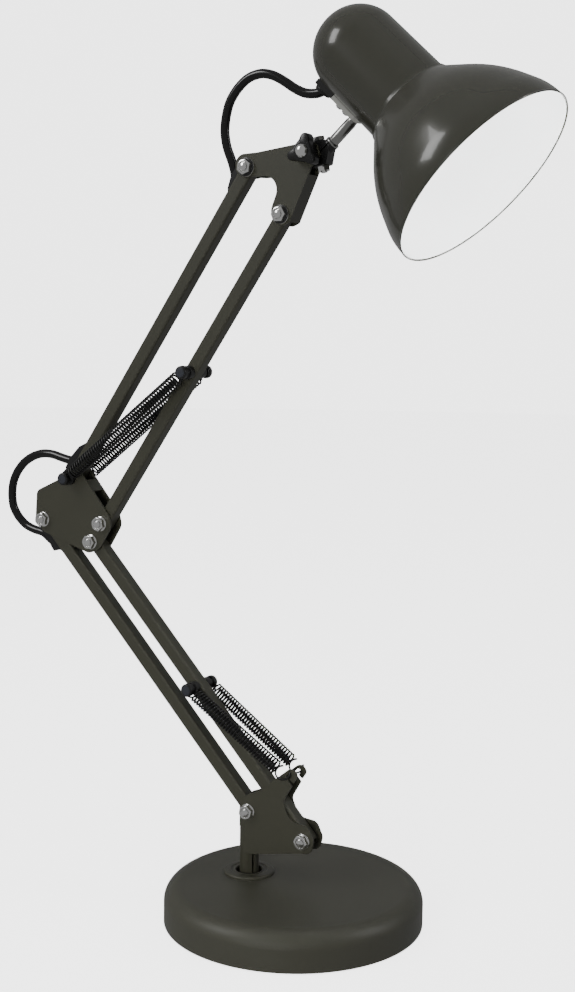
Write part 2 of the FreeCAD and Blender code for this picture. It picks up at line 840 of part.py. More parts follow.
lower_slots = [slot("lower_slot", *LOWER_SLOT)]
node("lower_rear_tube", link_tube("lower_rear", FOOT_REAR, dim("lower_angle"), lower_slots))
node("lower_front_tube", link_tube("lower_front", FOOT_FRONT, dim("lower_angle"), [], dim("lower_post_at")))
upper_slots = [slot(f"upper_slot_{i}", *ends) for i, ends in enumerate(UPPER_SLOTS)]
node("upper_rear_tube", link_tube("upper_rear", ARM_REAR, dim("upper_angle"), upper_slots))
node("upper_front_tube", link_tube("upper_front", ARM_FRONT, dim("upper_angle"), [], dim("upper_post_at")))

node("lower_rear_spacers", spacer_set("lower_rear_spacer", FOOT_REAR, dim("lower_angle")))
node("lower_front_spacers", spacer_set("lower_front_spacer", FOOT_FRONT, dim("lower_angle")))
node("upper_rear_spacers", spacer_set("upper_rear_spacer", ARM_REAR, dim("upper_angle")))
node("upper_front_spacers", spacer_set("upper_front_spacer", ARM_FRONT, dim("upper_angle")))

guide("cable_guide_lower", LOWER,
      [(226, back, 0), (247, back, 0), (247, 8.4, 1.2), (238, 9.4, 6.0), (229, 10.6, 1.6)], 0, 4)
guide("cable_guide_elbow", UPPER,
      [(0.5, back, 0), (27, back, 0), (21.2, 8.2, 4.0), (10, 10.2, 3.0), (1.5, 9.6, 1.2)], 14, 18)
guide("cable_guide_upper", UPPER,
      [(229.5, back, 0), (246, back, 0), (246, 8.0, 1.0), (239, 8.4, 3.0), (231, 6.0, 0)], 19, 23)


# ---------------------------------------------------------------------------------------------
# Spring posts: a pin across each side of the arm, with a collar, a groove and a head
# ---------------------------------------------------------------------------------------------
def post_half(label, x, z, side, inner):
    """One end of a spring post, from inner outwards, on the side +1 or -1."""
    steps = (
        ("collar", dim("post_head_radius"), inner, dim("post_collar_end")),
        ("groove", dim("post_groove_radius"), dim("post_collar_end"), dim("post_groove_end")),
        ("cap", dim("post_head_radius"), dim("post_groove_end"), dim("post_end")),
    )
    rods = []
    for name, radius, near, far in steps:
        start = near if side > 0 else -far
        rods.append(cylinder(f"{label}_{name}", radius, x, start, z, far - near))
    return rods


def mid_post(label, link_at, along):
    """A spring post through the middle of a tube: a pin with a spool screwed on at each side."""
    start, angle = link_at
    half_pin = dim("post_end") - 1
    pin = cylinder(f"{label}_pin", dim("bolt_radius"), along, -half_pin, 0, half_pin * 2)
    parts = [pin]
    for name, side in (("near", -1), ("far", 1)):
        parts += post_half(f"{label}_{name}", along, 0, side, half_side)
    post = fuse(f"{label}_spools", *parts)
    place(post, start[0], 0, start[1], tilt(angle))
    return node(label, post)


LOWER_FRONT, UPPER_FRONT = (FOOT_FRONT, dim("lower_angle")), (ARM_FRONT, dim("upper_angle"))
mid_post("lower_spring_post", LOWER_FRONT, dim("lower_post_at"))
mid_post("upper_spring_post", UPPER_FRONT, dim("upper_post_at"))

# ---------------------------------------------------------------------------------------------
# Elbow bracket: two plates joined by a short web on the upper right edge, and a post at the arm's rear pivot
# ---------------------------------------------------------------------------------------------
ex, ez = ELBOW_REAR
elbow_blank = side_plate(
    "elbow_blank",
    [
        (ex - 7.4, ez - 1.0, 7.0),
        (ex + 0.5, ez - 9.0, 7.0),
        (ELBOW_FRONT[0] - 2.0, ELBOW_FRONT[1] - 8.2, 7.0),
        (ELBOW_FRONT[0] + 7.0, ELBOW_FRONT[1] - 5.0, 6.0),
        (ARM_FRONT[0] + 9.4, ARM_FRONT[1] - 1.5, 7.5),
        (ARM_FRONT[0] + 7.2, ARM_FRONT[1] + 6.4, 4.0),
        (ARM_REAR[0] + 11.5, ARM_REAR[1] + 1.4, 3.0),
        (ARM_REAR[0] + 6.0, ARM_REAR[1] + 7.2, 5.0),
        (ARM_REAR[0] - 4.4, ARM_REAR[1] + 7.0, 5.5),
        (ARM_REAR[0] - 9.8, ARM_REAR[1] - 1.2, 2.0),
        (ex - 6.0, ez + 20.0, 5.0),
    ],
    plate_out,
)
elbow_gap = box("elbow_gap", (-260, -plate_in, 200), (150, plate_in * 2, 120))
elbow_web = side_plate(
    "elbow_web_zone",
    [
        (ARM_FRONT[0] - 13.4, ARM_FRONT[1] + 28.7, 0),
        (ARM_FRONT[0] - 7.4, ARM_FRONT[1] + 21.2, 0),
        (ARM_FRONT[0] + 3.5, ARM_FRONT[1] + 30.5, 0),
        (ARM_FRONT[0] - 4.5, ARM_FRONT[1] + 36.5, 0),
    ],
    20,
)
elbow_space = cut("elbow_space", elbow_gap, elbow_web)
elbow_holes = [
    cylinder(f"elbow_hole_{name}", dim("hole_radius"), spot[0], -20, spot[1], 40)
    for name, spot in (("rear", ELBOW_REAR), ("front", ELBOW_FRONT), ("arm", ARM_FRONT), ("top", ARM_REAR))
]
node("elbow_bracket", cut("elbow_sheet", elbow_blank, elbow_space, *elbow_holes))

half_top_pin = dim("post_end") - 1
top_pin = cylinder(
    "elbow_post_pin", dim("bolt_radius"), ARM_REAR[0], -half_top_pin, ARM_REAR[1], half_top_pin * 2
)
top_spools = []
for side_name, side in (("near", -1), ("far", 1)):
    top_spools += post_half(f"elbow_post_{side_name}", ARM_REAR[0], ARM_REAR[1], side, plate_out)
node("elbow_spring_post", fuse("elbow_post_spools", top_pin, *top_spools))

# ---------------------------------------------------------------------------------------------
# Head bracket: two plates with a web down the edge below the knuckle
# ---------------------------------------------------------------------------------------------
kx, kz = KNUCKLE
hx, hz = HEAD_REAR
head_blank = side_plate(
    "head_blank",
    [
        (hx - 8.0, hz - 5.0, 6.0),
        (hx + 8.0, hz - 6.2, 6.0),
        (HEAD_FRONT[0] + 1.2, HEAD_FRONT[1] + 24.5, 9.0),
        (HEAD_FRONT[0] - 7.8, HEAD_FRONT[1] + 1.5, 7.0),
        (HEAD_FRONT[0] - 1.0, HEAD_FRONT[1] - 8.4, 6.0),
        (HEAD_FRONT[0] + 6.6, HEAD_FRONT[1] - 5.0, 3.0),
        (kx + 1.6, kz - 8.7, 1.0),
        (kx + 8.8, kz - 4.0, 6.0),
        (kx + 4.5, kz + 6.6, 6.0),
        (kx - 8.0, kz + 5.6, 4.0),
        (hx + 7.8, hz + 8.7, 3.0),
        (hx - 8.0, hz + 8.0, 6.6),
    ],
    plate_out,
)
head_gap = box("head_gap", (-80, -plate_in, 400), (150, plate_in * 2, 150))
head_web = side_plate(
    "head_web_zone",
    [
        (HEAD_FRONT[0] + 5.6, HEAD_FRONT[1] - 4.2, 0),
        (HEAD_FRONT[0] + 20.0, HEAD_FRONT[1] - 18.0, 0),
        (kx + 18.0, kz - 13.2, 0),
        (kx - 1.75, kz - 13.2, 0),
    ],
    20,
)
head_space = cut("head_space", head_gap, head_web)
head_holes = [
    cylinder(f"head_hole_{name}", dim("hole_radius"), spot[0], -20, spot[1], 40)
    for name, spot in (("rear", HEAD_REAR), ("front", HEAD_FRONT))
]
tilt_hole = cylinder("head_hole_tilt", dim("tilt_bolt_radius") + 0.08, kx, -20, kz, 40)
node("head_bracket", cut("head_sheet", head_blank, head_space, *head_holes, tilt_hole))

# the tilt bolt goes through both plates and the knuckle into the knob
knob_near, knob_far = dim("knob_near"), dim("knob_near") + dim("knob_thick")
tilt_shank = cylinder(
    "tilt_shank", dim("tilt_bolt_radius"), kx, -(knob_far + 1.6), kz, knob_far + 1.6 + plate_out
)
tilt_head = cylinder("tilt_head", 5.0, kx, plate_out, kz, 2.2)
node("tilt_bolt", fuse("tilt_bolt_parts", tilt_shank, tilt_head))

knob_hub = cylinder("knob_hub", 5.6, kx, -knob_near, kz, knob_near - plate_out - 0.1)
knob_core = cylinder("knob_core", dim("knob_hub_radius"), kx, -knob_far, kz, dim("knob_thick"))
LOBES = (79.0, 199.0, 319.0)
lobe_parts = []
for i, turn in enumerate(LOBES):
    reach = dim("knob_lobe_at")
    lobe_x = kx + reach * math.cos(math.radians(turn))
    lobe_z = kz + reach * math.sin(math.radians(turn))
    lobe_parts.append(
        cylinder(f"knob_lobe_{i}", dim("knob_lobe_radius"), lobe_x, -knob_far, lobe_z, dim("knob_thick"))
    )
    arm_size = (reach, dim("knob_lobe_radius") * 2, dim("knob_thick"))
    arm = box(f"knob_arm_{i}", (0, -dim("knob_lobe_radius"), 0), arm_size)
    arm_frame = doc.addObject("Part::Compound", f"knob_arm_{i}_placed")
    arm_frame.Links = [arm]
    place(arm_frame, kx, -knob_far, kz, Rotation(Vector(1, 0, 0), -90) * Rotation(Vector(0, 0, 1), -turn))
    lobe_parts.append(arm_frame)
knob_bore = cylinder("knob_bore", dim("tilt_bolt_radius") + 0.05, kx, -40, kz, 80)
knob_blank = fuse("knob_blank", knob_hub, knob_core, *lobe_parts)
node("clamp_knob", cut("knob_cut", knob_blank, knob_bore))

cap_blank = hexagon("knob_cap_hexagon", 7.6, kx, -(knob_far + 1.8), kz, 1.8)
cap_dome = ball("knob_cap_ball", 3.6, kx, -(knob_far + 1.2), kz)
cap_front = box("knob_cap_front", (kx - 10, -40, kz - 10), (20, 40 - knob_far, 20))
cap_shape = common("knob_cap_shape", fuse("knob_cap_blank", cap_blank, cap_dome), cap_front)
cap_bore = cylinder("knob_cap_bore", dim("tilt_bolt_radius") + 0.05, kx, -(knob_far + 1.7), kz, 20)
node("knob_cap_nut", cut("knob_cap_cut", cap_shape, cap_bore))

# ---------------------------------------------------------------------------------------------
# Knuckle: a moulded block on the tilt bolt, split and squeezed round the shade's rod
# ---------------------------------------------------------------------------------------------
half_knuckle = dim("knuckle_half_width")
knuckle_blank = side_plate(
    "knuckle_blank",
    [
        (kx - 6.6, kz - 5.6, 5.0),
        (kx + 0.2, kz - 9.5, 2.0),
        (kx + 10.7, kz - 7.2, 1.2),
        (kx + 12.6, kz + 2.5, 1.0),
        (kx + 8.2, kz + 7.9, 1.0),
        (kx - 4.0, kz + 5.2, 2.0),
        (kx - 7.4, kz + 1.5, 3.0),
    ],
    half_knuckle,
)
rod_turn = tilt(dim("rod_angle"))


def along_rod(label, thing):
    """Put a thing built along local X onto the rod's axis."""
    frame = doc.addObject("Part::Compound", label)
    frame.Links = [thing]
    place(frame, dim("rod_x"), 0, dim("rod_z"), rod_turn)
    return frame


ALONG_X = Rotation(Vector(0, 1, 0), 90)
collar = along_rod("knuckle_collar", cylinder("collar_blank", half_knuckle, -7, 0, 0, 9.4, ALONG_X))
rod_bore = along_rod(
    "knuckle_rod_bore",
    cylinder("rod_bore_blank", dim("rod_radius") + 0.05, dim("rod_start") - 0.2, 0, 0, 40, ALONG_X),
)
squeeze = (Vector(0, 1, 0), dim("squeeze_bolt_lean"))


def on_squeeze(label, thing):
    """Put a thing built along local Z onto the squeeze bolt's axis."""
    frame = doc.addObject("Part::Compound", label)
    frame.Links = [thing]
    place(frame, dim("squeeze_bolt_x"), 0, kz, squeeze)
    return frame


squeeze_bore = on_squeeze(
    "knuckle_squeeze_bore",
    cylinder("squeeze_bore_blank", dim("squeeze_bolt_radius") + 0.1, 0, 0, -30, 60, Rotation()),
)
saw_slit = along_rod("knuckle_slit", box("saw_slit_blank", (-12, -10, -0.4), (40, 20, 0.8)))
tilt_bore = cylinder("knuckle_tilt_bore", dim("tilt_bolt_radius") + 0.05, kx, -20, kz, 40)
knuckle_body = fuse("knuckle_body", knuckle_blank, collar)
node("knuckle_block", cut("knuckle_cut", knuckle_body, rod_bore, squeeze_bore, saw_slit, tilt_bore))

squeeze_shank = cylinder("squeeze_shank", dim("squeeze_bolt_radius"), 0, 0, -12.2, 19.3, Rotation())
squeeze_head = hexagon("squeeze_head", 7.0, 0, 0, 7.0, 2.8, Rotation())
node("knuckle_bolt", on_squeeze("squeeze_bolt", fuse("squeeze_bolt_parts", squeeze_shank, squeeze_head)))
squeeze_nut = hexagon("squeeze_nut_blank", 7.0, 0, 0, -11.3, 3.0, Rotation())
squeeze_nut_bore = cylinder("squeeze_nut_bore", dim("squeeze_bolt_radius") + 0.02, 0, 0, -20, 40, Rotation())
squeeze_nut_cut = cut("squeeze_nut_cut", squeeze_nut, squeeze_nut_bore)
node("knuckle_nut", on_squeeze("squeeze_nut", squeeze_nut_cut))

friction_thick = plate_in - half_knuckle - 0.1
friction_bore = dim("tilt_bolt_radius") + 0.05
friction_near = -(half_knuckle + 0.04 + friction_thick)
friction = [
    ring("friction_near", 6.5, friction_bore, KNUCKLE, friction_near, friction_thick),
    ring("friction_far", 6.5, friction_bore, KNUCKLE, half_knuckle + 0.04, friction_thick),
]
node("friction_washers", group("friction_pair", *friction))


# ---------------------------------------------------------------------------------------------
# Shade: built about local Z, which runs from the rim's centre back up the neck, local X to the upper side
# ---------------------------------------------------------------------------------------------
def in_place(label, thing):
    frame = doc.addObject("Part::Compound", f"{label}_frame")
    frame.Links = [thing]
    place(frame, dim("rim_x"), 0, dim("rim_z"), (Vector(0, 1, 0), dim("shade_lean")))
    return node(label, frame)


bell_wall = dim("bell_wall")
bell_length = dim("bell_length")
bell = turned(
    "bell_turned",
    [
        (dim("rim_radius"), 0, 0),
        (dim("rim_radius"), 8.7, 40.0),
        (52.7, 37.9, 90.0),
        (30.2, 64.3, 2.5),
        (29.9, bell_length, 0),
        (28.8, bell_length, 0),
        (29.1, 63.9, 1.5),
        (51.5, 37.5, 89.0),
        (dim("rim_radius") - bell_wall, 8.4, 39.0),
        (dim("rim_radius") - bell_wall, 0, 0),
    ],
)
in_place("shade_bell", bell)

neck_wall = dim("neck_wall")
cap_turned = turned(
    "neck_turned",
    [
        (dim("neck_radius"), dim("neck_start"), 0),
        (dim("neck_end_radius"), dim("neck_end"), dim("dome_radius")),
        (0, dim("neck_end"), 0),
        (0, dim("neck_end") - neck_wall, 0),
        (dim("neck_end_radius") - neck_wall, dim("neck_end") - neck_wall, dim("dome_radius") - neck_wall),
        (dim("neck_radius") - neck_wall, dim("neck_start"), 0),
    ],
)
TO_NECK = Rotation(Vector(0, 1, 0), -90)
SADDLE_SCREWS = (97.2, 102.9)
gland_hole = cylinder("gland_hole", 5.2, 0, 0, dim("gland_at"), 60, TO_NECK)
saddle_holes = [
    cylinder(f"saddle_hole_{i}", 1.6, 0, 0, back_at, 60, TO_NECK) for i, back_at in enumerate(SADDLE_SCREWS)
]
in_place("neck_cap", cut("neck_cut", cap_turned, gland_hole, *saddle_holes))

# saddle plate, bent to the neck, which carries the rod and is held by two screws
saddle_out = dim("neck_radius") + dim("saddle_thick")
saddle_round = cylinder("saddle_round", saddle_out, 0, 0, 86.5, 20, Rotation())
neck_solid = turned(
    "neck_solid",
    [
        (0, dim("neck_start"), 0),
        (dim("neck_radius") + 0.03, dim("neck_start"), 0),
        (dim("neck_end_radius") + 0.03, dim("neck_end"), dim("dome_radius")),
        (0, dim("neck_end"), 0),
    ],
)
saddle_window = box("saddle_window", (-40, -8.5, 80), (30, 17, 40))
saddle_bores = [
    cylinder(f"saddle_bore_{i}", 1.6, 0, 0, back_at, 60, TO_NECK) for i, back_at in enumerate(SADDLE_SCREWS)
]
saddle_shape = common("saddle_shape", saddle_round, saddle_window)
in_place("saddle_plate", cut("saddle_cut", saddle_shape, neck_solid, *saddle_bores))

screws = []
for i, back_at in enumerate(SADDLE_SCREWS):
    screw_head = cylinder(f"screw_head_{i}", 2.5, -(saddle_out + 0.05), 0, back_at, 1.8, TO_NECK)
    screw_shank = cylinder(f"screw_shank_{i}", 1.5, -24.0, 0, back_at, saddle_out - 23.9, TO_NECK)
    screws.append(fuse(f"saddle_screw_{i}", screw_head, screw_shank))
in_place("saddle_screws", group("saddle_screw_pair", *screws))

# the rod stops on the saddle plate
rod_blank = along_rod(
    "rod_placed", cylinder("rod_blank", dim("rod_radius"), dim("rod_start"), 0, 0, dim("rod_length"), ALONG_X)
)
stop_round = cylinder("rod_stop_round", saddle_out + 0.02, 0, 0, 70, 60, Rotation())
stop_frame = doc.addObject("Part::Compound", "rod_stop")
stop_frame.Links = [stop_round]
place(stop_frame, dim("rim_x"), 0, dim("rim_z"), (Vector(0, 1, 0), dim("shade_lean")))
node("head_rod", cut("rod_cut", rod_blank, stop_frame))

# gland: a pad bent to the neck with a boss for the lead
gland_round = cylinder("gland_round", 31.2, 0, 0, dim("gland_at") - 10.5, 15, Rotation())
gland_window = box("gland_window", (-40, -7.0, 100), (30, 14, 40))
gland_pad = common("gland_pad", gland_round, gland_window)
gland_boss = cylinder("gland_boss", 5.6, -27, 0, dim("gland_at"), 6.2, TO_NECK)
gland_barrel = cylinder("gland_barrel", 5.1, -23.6, 0, dim("gland_at"), 5, TO_NECK)
gland_outside = cut("gland_outside", fuse("gland_parts", gland_pad, gland_boss), neck_solid)
gland_frame = doc.addObject("Part::Compound", "gland_frame")
gland_frame.Links = [fuse("gland_whole", gland_outside, gland_barrel)]
place(gland_frame, dim("rim_x"), 0, dim("rim_z"), (Vector(0, 1, 0), dim("shade_lean")))
gland_bore = solid_feature(
    "gland_bore", sweep(stretch(whole_route, 33, 36), dim("cable_radius").value + 0.05)
)
node("cord_gland", cut("gland_cut", gland_frame, gland_bore))

# lamp holder: a moulded skirt with a threaded sleeve and a centre contact, on a disc inside the neck
holder = dim("holder_radius")
thread = dim("bulb_thread_radius")
skirt = turned(
    "skirt_turned",
    [
        (thread + 1.1, 60, 0),
        (holder, 60, 1.5),
        (holder, 93, 3.0),
        (8, 97.8, 1.0),
        (0, 97.8, 0),
        (0, 94, 0),
        (thread + 1.1, 94, 0),
    ],
)
in_place("lamp_holder_skirt", skirt)
sleeve = turned(
    "sleeve_turned",
    [(thread, 61.5, 0), (thread + 1.05, 61.5, 0), (thread + 1.05, 90.4, 0), (thread, 90.4, 0)],
)
in_place("lamp_holder_sleeve", sleeve)
in_place("lamp_holder_contact", cylinder("contact_disc", 4.5, 0, 0, 90.5, 3.45, Rotation()))
spider = turned(
    "spider_turned", [(holder + 0.05, 86, 0), (27.15, 86, 0), (27.15, 87.2, 0), (holder + 0.05, 87.2, 0)]
)
in_place("holder_bracket", spider)


# ---------------------------------------------------------------------------------------------
# Springs: the envelope of each coil, with the ring at each of its ends
# ---------------------------------------------------------------------------------------------
def ring_shape(centre, normal):
    wire = dim("spring_wire").value / 2
    return Part.makeTorus(dim("spring_eye_radius").value - wire, wire, centre, normal)


def spring(label, first, last, last_on_hook):
    """A tension spring between two points; first is a post, last is a post or a hook in a plate."""
    eye = dim("spring_eye_radius").value - dim("spring_wire").value / 2
    outer = dim("spring_radius").value
    heading = (last - first).normalize()
    post_shift = eye - dim("spring_wire").value / 2 - dim("post_groove_radius").value - 0.15
    ring_a = first + heading * post_shift
    if last_on_hook:
        off = dim("hook_ring_y").value - (plate_in.value + plate_out.value) / 2
        ring_b = last - heading * math.sqrt(eye**2 - off**2)
        normal_b = heading.cross(Vector(0, 1, 0)).normalize()
    else:
        ring_b = last - heading * post_shift
        normal_b = Vector(0, 1, 0)
    heading = (ring_b - ring_a).normalize()
    start = ring_a + heading * (eye - 0.4)
    length = (ring_b - ring_a).Length - 2 * (eye - 0.4)
    coil = Part.makeCylinder(outer, length, start, heading)
    end_turn = heading * dim("spring_wire").value
    inner = outer - dim("spring_wire").value
    coil = coil.cut(Part.makeCylinder(inner, length - 2 * end_turn.Length, start + end_turn, heading))
    shape = coil.fuse([ring_shape(ring_a, Vector(0, 1, 0)), ring_shape(ring_b, normal_b)])
    return node(label, solid_feature(f"{label}_coil", shape.removeSplitter()))


lower_post = on_link(FOOT_FRONT, dim("lower_angle"), dim("lower_post_at").value, 0)
upper_post = on_link(ARM_FRONT, dim("upper_angle"), dim("upper_post_at").value, 0)
for side_name, side in (("front", -1), ("rear", 1)):
    post_y = side * dim("spring_y").value
    hook_y = side * dim("hook_ring_y").value
    spring(
        f"lower_spring_{side_name}",
        Vector(lower_post[0], post_y, lower_post[1]),
        Vector(hook_x.value + 0.2, hook_y, hook_z.value),
        True,
    )
    spring(
        f"upper_spring_{side_name}",
        Vector(ARM_REAR[0].value, post_y, ARM_REAR[1].value),
        Vector(upper_post[0], post_y, upper_post[1]),
        False,
    )

# ---------------------------------------------------------------------------------------------
# Check and write
# ---------------------------------------------------------------------------------------------
doc.recompute()
faults = []
for item in doc.Objects:
    if "Invalid" in item.State or "Error" in item.State:
        faults.append(f"{item.Name}: {item.State}")
for part in NODES:
    if part.Shape.isNull() or not part.Shape.isValid():
        faults.append(f"{part.Label}: no valid shape")
if faults:
    raise RuntimeError("; ".join(faults))

os.makedirs("parts", exist_ok=True)
for part in NODES:
    part.Shape.exportStep(f"parts/{part.Label}.step")
    print(f"{part.Label}: {len(part.Shape.Solids)} solid(s), {part.Shape.Volume / 1000:.2f} cm3")
print(f"{len(NODES)} sub-parts")
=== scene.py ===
"""Looks of the swing arm desk lamp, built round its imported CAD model. Metres, in the row frame."""

import math

import bmesh
import bpy
import numpy as np
from mathutils import Matrix, Vector


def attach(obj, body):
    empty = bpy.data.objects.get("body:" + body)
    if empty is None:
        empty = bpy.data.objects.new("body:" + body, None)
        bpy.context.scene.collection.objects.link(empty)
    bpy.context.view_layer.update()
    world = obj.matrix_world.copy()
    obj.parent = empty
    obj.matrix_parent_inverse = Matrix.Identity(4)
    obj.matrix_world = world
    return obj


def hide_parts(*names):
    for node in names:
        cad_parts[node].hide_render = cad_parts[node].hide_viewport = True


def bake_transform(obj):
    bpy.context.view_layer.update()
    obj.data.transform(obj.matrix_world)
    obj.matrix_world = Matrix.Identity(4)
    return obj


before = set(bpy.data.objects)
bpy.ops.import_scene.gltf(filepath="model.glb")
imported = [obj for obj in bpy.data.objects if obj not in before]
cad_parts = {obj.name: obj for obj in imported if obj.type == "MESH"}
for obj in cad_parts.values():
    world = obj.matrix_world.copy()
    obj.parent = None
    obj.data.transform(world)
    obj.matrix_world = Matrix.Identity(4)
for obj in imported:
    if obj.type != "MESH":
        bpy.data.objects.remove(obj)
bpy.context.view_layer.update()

MM = 0.001

# ---------------------------------------------------------------------------------------------
# Geometry of the linkage, in millimetres, as the CAD model has it
# ---------------------------------------------------------------------------------------------
LINK = 250.0
LOWER_ANGLE = math.radians(133.5)
UPPER_ANGLE = math.radians(55.5)
LOWER_POST_ALONG = 124.0
UPPER_POST_ALONG = 128.5


def along(angle, length, out=0.0):
    """A step along a link and out from its back, as (x, z)."""
    return np.array(
        [length * math.cos(angle) - out * math.sin(angle), length * math.sin(angle) + out * math.cos(angle)]
    )


FOOT_REAR = np.array([-32.0, 69.0])
FOOT_FRONT = np.array([10.0, 56.5])
ELBOW_REAR = FOOT_REAR + along(LOWER_ANGLE, LINK)
ELBOW_FRONT = FOOT_FRONT + along(LOWER_ANGLE, LINK)
ARM_FRONT = ELBOW_FRONT + np.array([8.1, 13.2])
ARM_REAR = ARM_FRONT + np.array([-25.6, 30.0])
HEAD_FRONT = ARM_FRONT + along(UPPER_ANGLE, LINK)
HEAD_REAR = ARM_REAR + along(UPPER_ANGLE, LINK)
KNUCKLE = np.array([7.6, 494.0])
SWIVEL_X = -34.5
HOOK = np.array([-1.0, 98.6])
LOWER_POST = FOOT_FRONT + along(LOWER_ANGLE, LOWER_POST_ALONG)
UPPER_POST = ARM_FRONT + along(UPPER_ANGLE, UPPER_POST_ALONG)
TUBE_RADIUS = 4.75
PLATE_OUT = 6.4
RIM = np.array([121.5, 474.0])
SHADE_LEAN = math.radians(-47.0)


def at(spot, y=0.0):
    """A point of the XZ plane at a depth y."""
    return Vector((float(spot[0]), float(y), float(spot[1])))


def axes(origin, z_axis, x_hint=(1, 0, 0)):
    """A frame at origin whose Z runs along z_axis and whose X is near x_hint."""
    z = Vector(z_axis).normalized()
    x = Vector(x_hint)
    x = (x - z * x.dot(z)).normalized()
    y = z.cross(x)
    return Matrix(
        (
            (x.x, y.x, z.x, origin[0]),
            (x.y, y.y, z.y, origin[1]),
            (x.z, y.z, z.z, origin[2]),
            (0, 0, 0, 1),
        )
    )


def front(spot, y):
    """A frame that looks out of the lamp's front, -Y, from a point."""
    return axes(at(spot, y), (0, -1, 0))


def rear(spot, y):
    """A frame that looks out of the lamp's rear, +Y, from a point."""
    return axes(at(spot, y), (0, 1, 0))


# the shade's frame: its origin is the middle of the rim and its Z runs back along the shade's axis
SHADE = axes(
    at(RIM), (math.sin(SHADE_LEAN), 0, math.cos(SHADE_LEAN)), (math.cos(SHADE_LEAN), 0, -math.sin(SHADE_LEAN))
)


# ---------------------------------------------------------------------------------------------
# Materials
# ---------------------------------------------------------------------------------------------
COAT_ROUGHNESS = 0.05
MOTTLE_SCALE, MOTTLE_DETAIL = 60.0, 4.0
GRAIN_DETAIL, GRAIN_HEIGHT = 3.0, 0.0004


def material(name, color, roughness, metallic=0.0, coat=0.0, grain=0.0, grain_scale=900.0, mottle=0.0):
    """A procedural finish: a base colour with slight mottling, and a fine grain in the surface."""
    m = bpy.data.materials.new(name)
    m.use_nodes = True
    nodes, links = m.node_tree.nodes, m.node_tree.links
    shader = nodes["Principled BSDF"]
    shader.inputs["Base Color"].default_value = (*color, 1)
    shader.inputs["Roughness"].default_value = roughness
    shader.inputs["Metallic"].default_value = metallic
    shader.inputs["Coat Weight"].default_value = coat
    shader.inputs["Coat Roughness"].default_value = COAT_ROUGHNESS
    place = nodes.new("ShaderNodeTexCoord")
    if mottle:
        cloud = nodes.new("ShaderNodeTexNoise")
        cloud.inputs["Scale"].default_value = MOTTLE_SCALE
        cloud.inputs["Detail"].default_value = MOTTLE_DETAIL
        ramp = nodes.new("ShaderNodeMix")
        ramp.data_type = "RGBA"
        ramp.inputs["A"].default_value = (*[c * (1 - mottle) for c in color], 1)
        ramp.inputs["B"].default_value = (*[min(1, c * (1 + mottle)) for c in color], 1)
        links.new(place.outputs["Object"], cloud.inputs["Vector"])
        links.new(cloud.outputs["Fac"], ramp.inputs["Factor"])
        links.new(ramp.outputs["Result"], shader.inputs["Base Color"])
    if grain:
        noise = nodes.new("ShaderNodeTexNoise")
        noise.inputs["Scale"].default_value = grain_scale
        noise.inputs["Detail"].default_value = GRAIN_DETAIL
        bump = nodes.new("ShaderNodeBump")
        bump.inputs["Strength"].default_value = grain
        bump.inputs["Distance"].default_value = GRAIN_HEIGHT
        links.new(place.outputs["Object"], noise.inputs["Vector"])
        links.new(noise.outputs["Fac"], bump.inputs["Height"])
        links.new(bump.outputs["Normal"], shader.inputs["Normal"])
    return m


OLIVE = (0.033, 0.033, 0.023)
powder = material("powder coat", OLIVE, 0.42, grain=0.1, grain_scale=1400, mottle=0.06)
BASE_OLIVE = (0.038, 0.038, 0.028)
base_coat = material("base powder coat", BASE_OLIVE, 0.45, grain=0.2, grain_scale=1100, mottle=0.06)
enamel = material("shade enamel", (0.034, 0.034, 0.026), 0.22, coat=0.3, mottle=0.03)
white_enamel = material("white enamel", (0.82, 0.83, 0.83), 0.28, mottle=0.01)
rod_steel = material("rod steel", (0.36, 0.36, 0.35), 0.25, metallic=1.0, mottle=0.04)
chrome = material("bright nickel plate", (0.86, 0.86, 0.85), 0.12, metallic=1.0, mottle=0.03)
zinc = material("zinc plate", (0.62, 0.62, 0.58), 0.3, metallic=1.0, mottle=0.06)
brass = material("brass", (0.78, 0.58, 0.28), 0.25, metallic=1.0, mottle=0.05)
black_plastic = material("black moulded plastic", (0.007, 0.007, 0.007), 0.30, grain=0.08, mottle=0.1)
black_rubber = material("black moulded rubber", (0.006, 0.006, 0.006), 0.40, mottle=0.1)
sheath = material("glossy black sheath", (0.004, 0.004, 0.004), 0.16, mottle=0.1)
black_wire = material("black oxide wire", (0.007, 0.007, 0.007), 0.25, mottle=0.15)
# black oxide on the head washers; the saddle screws use it too, as painted shade in their slots
black_washer = material("black oxide washer", (0.010, 0.010, 0.010), 0.30, mottle=0.1)
post_grey = material("post end", (0.020, 0.022, 0.028), 0.4, mottle=0.08)
nylon = material("black nylon", (0.020, 0.020, 0.020), 0.45, mottle=0.08)
iron = material("cast iron", (0.09, 0.09, 0.09), 0.7, grain=0.5, grain_scale=500, mottle=0.15)
pad_rubber = material("anti-slip pad", (0.018, 0.018, 0.018), 0.85, grain=0.5, grain_scale=800, mottle=0.15)


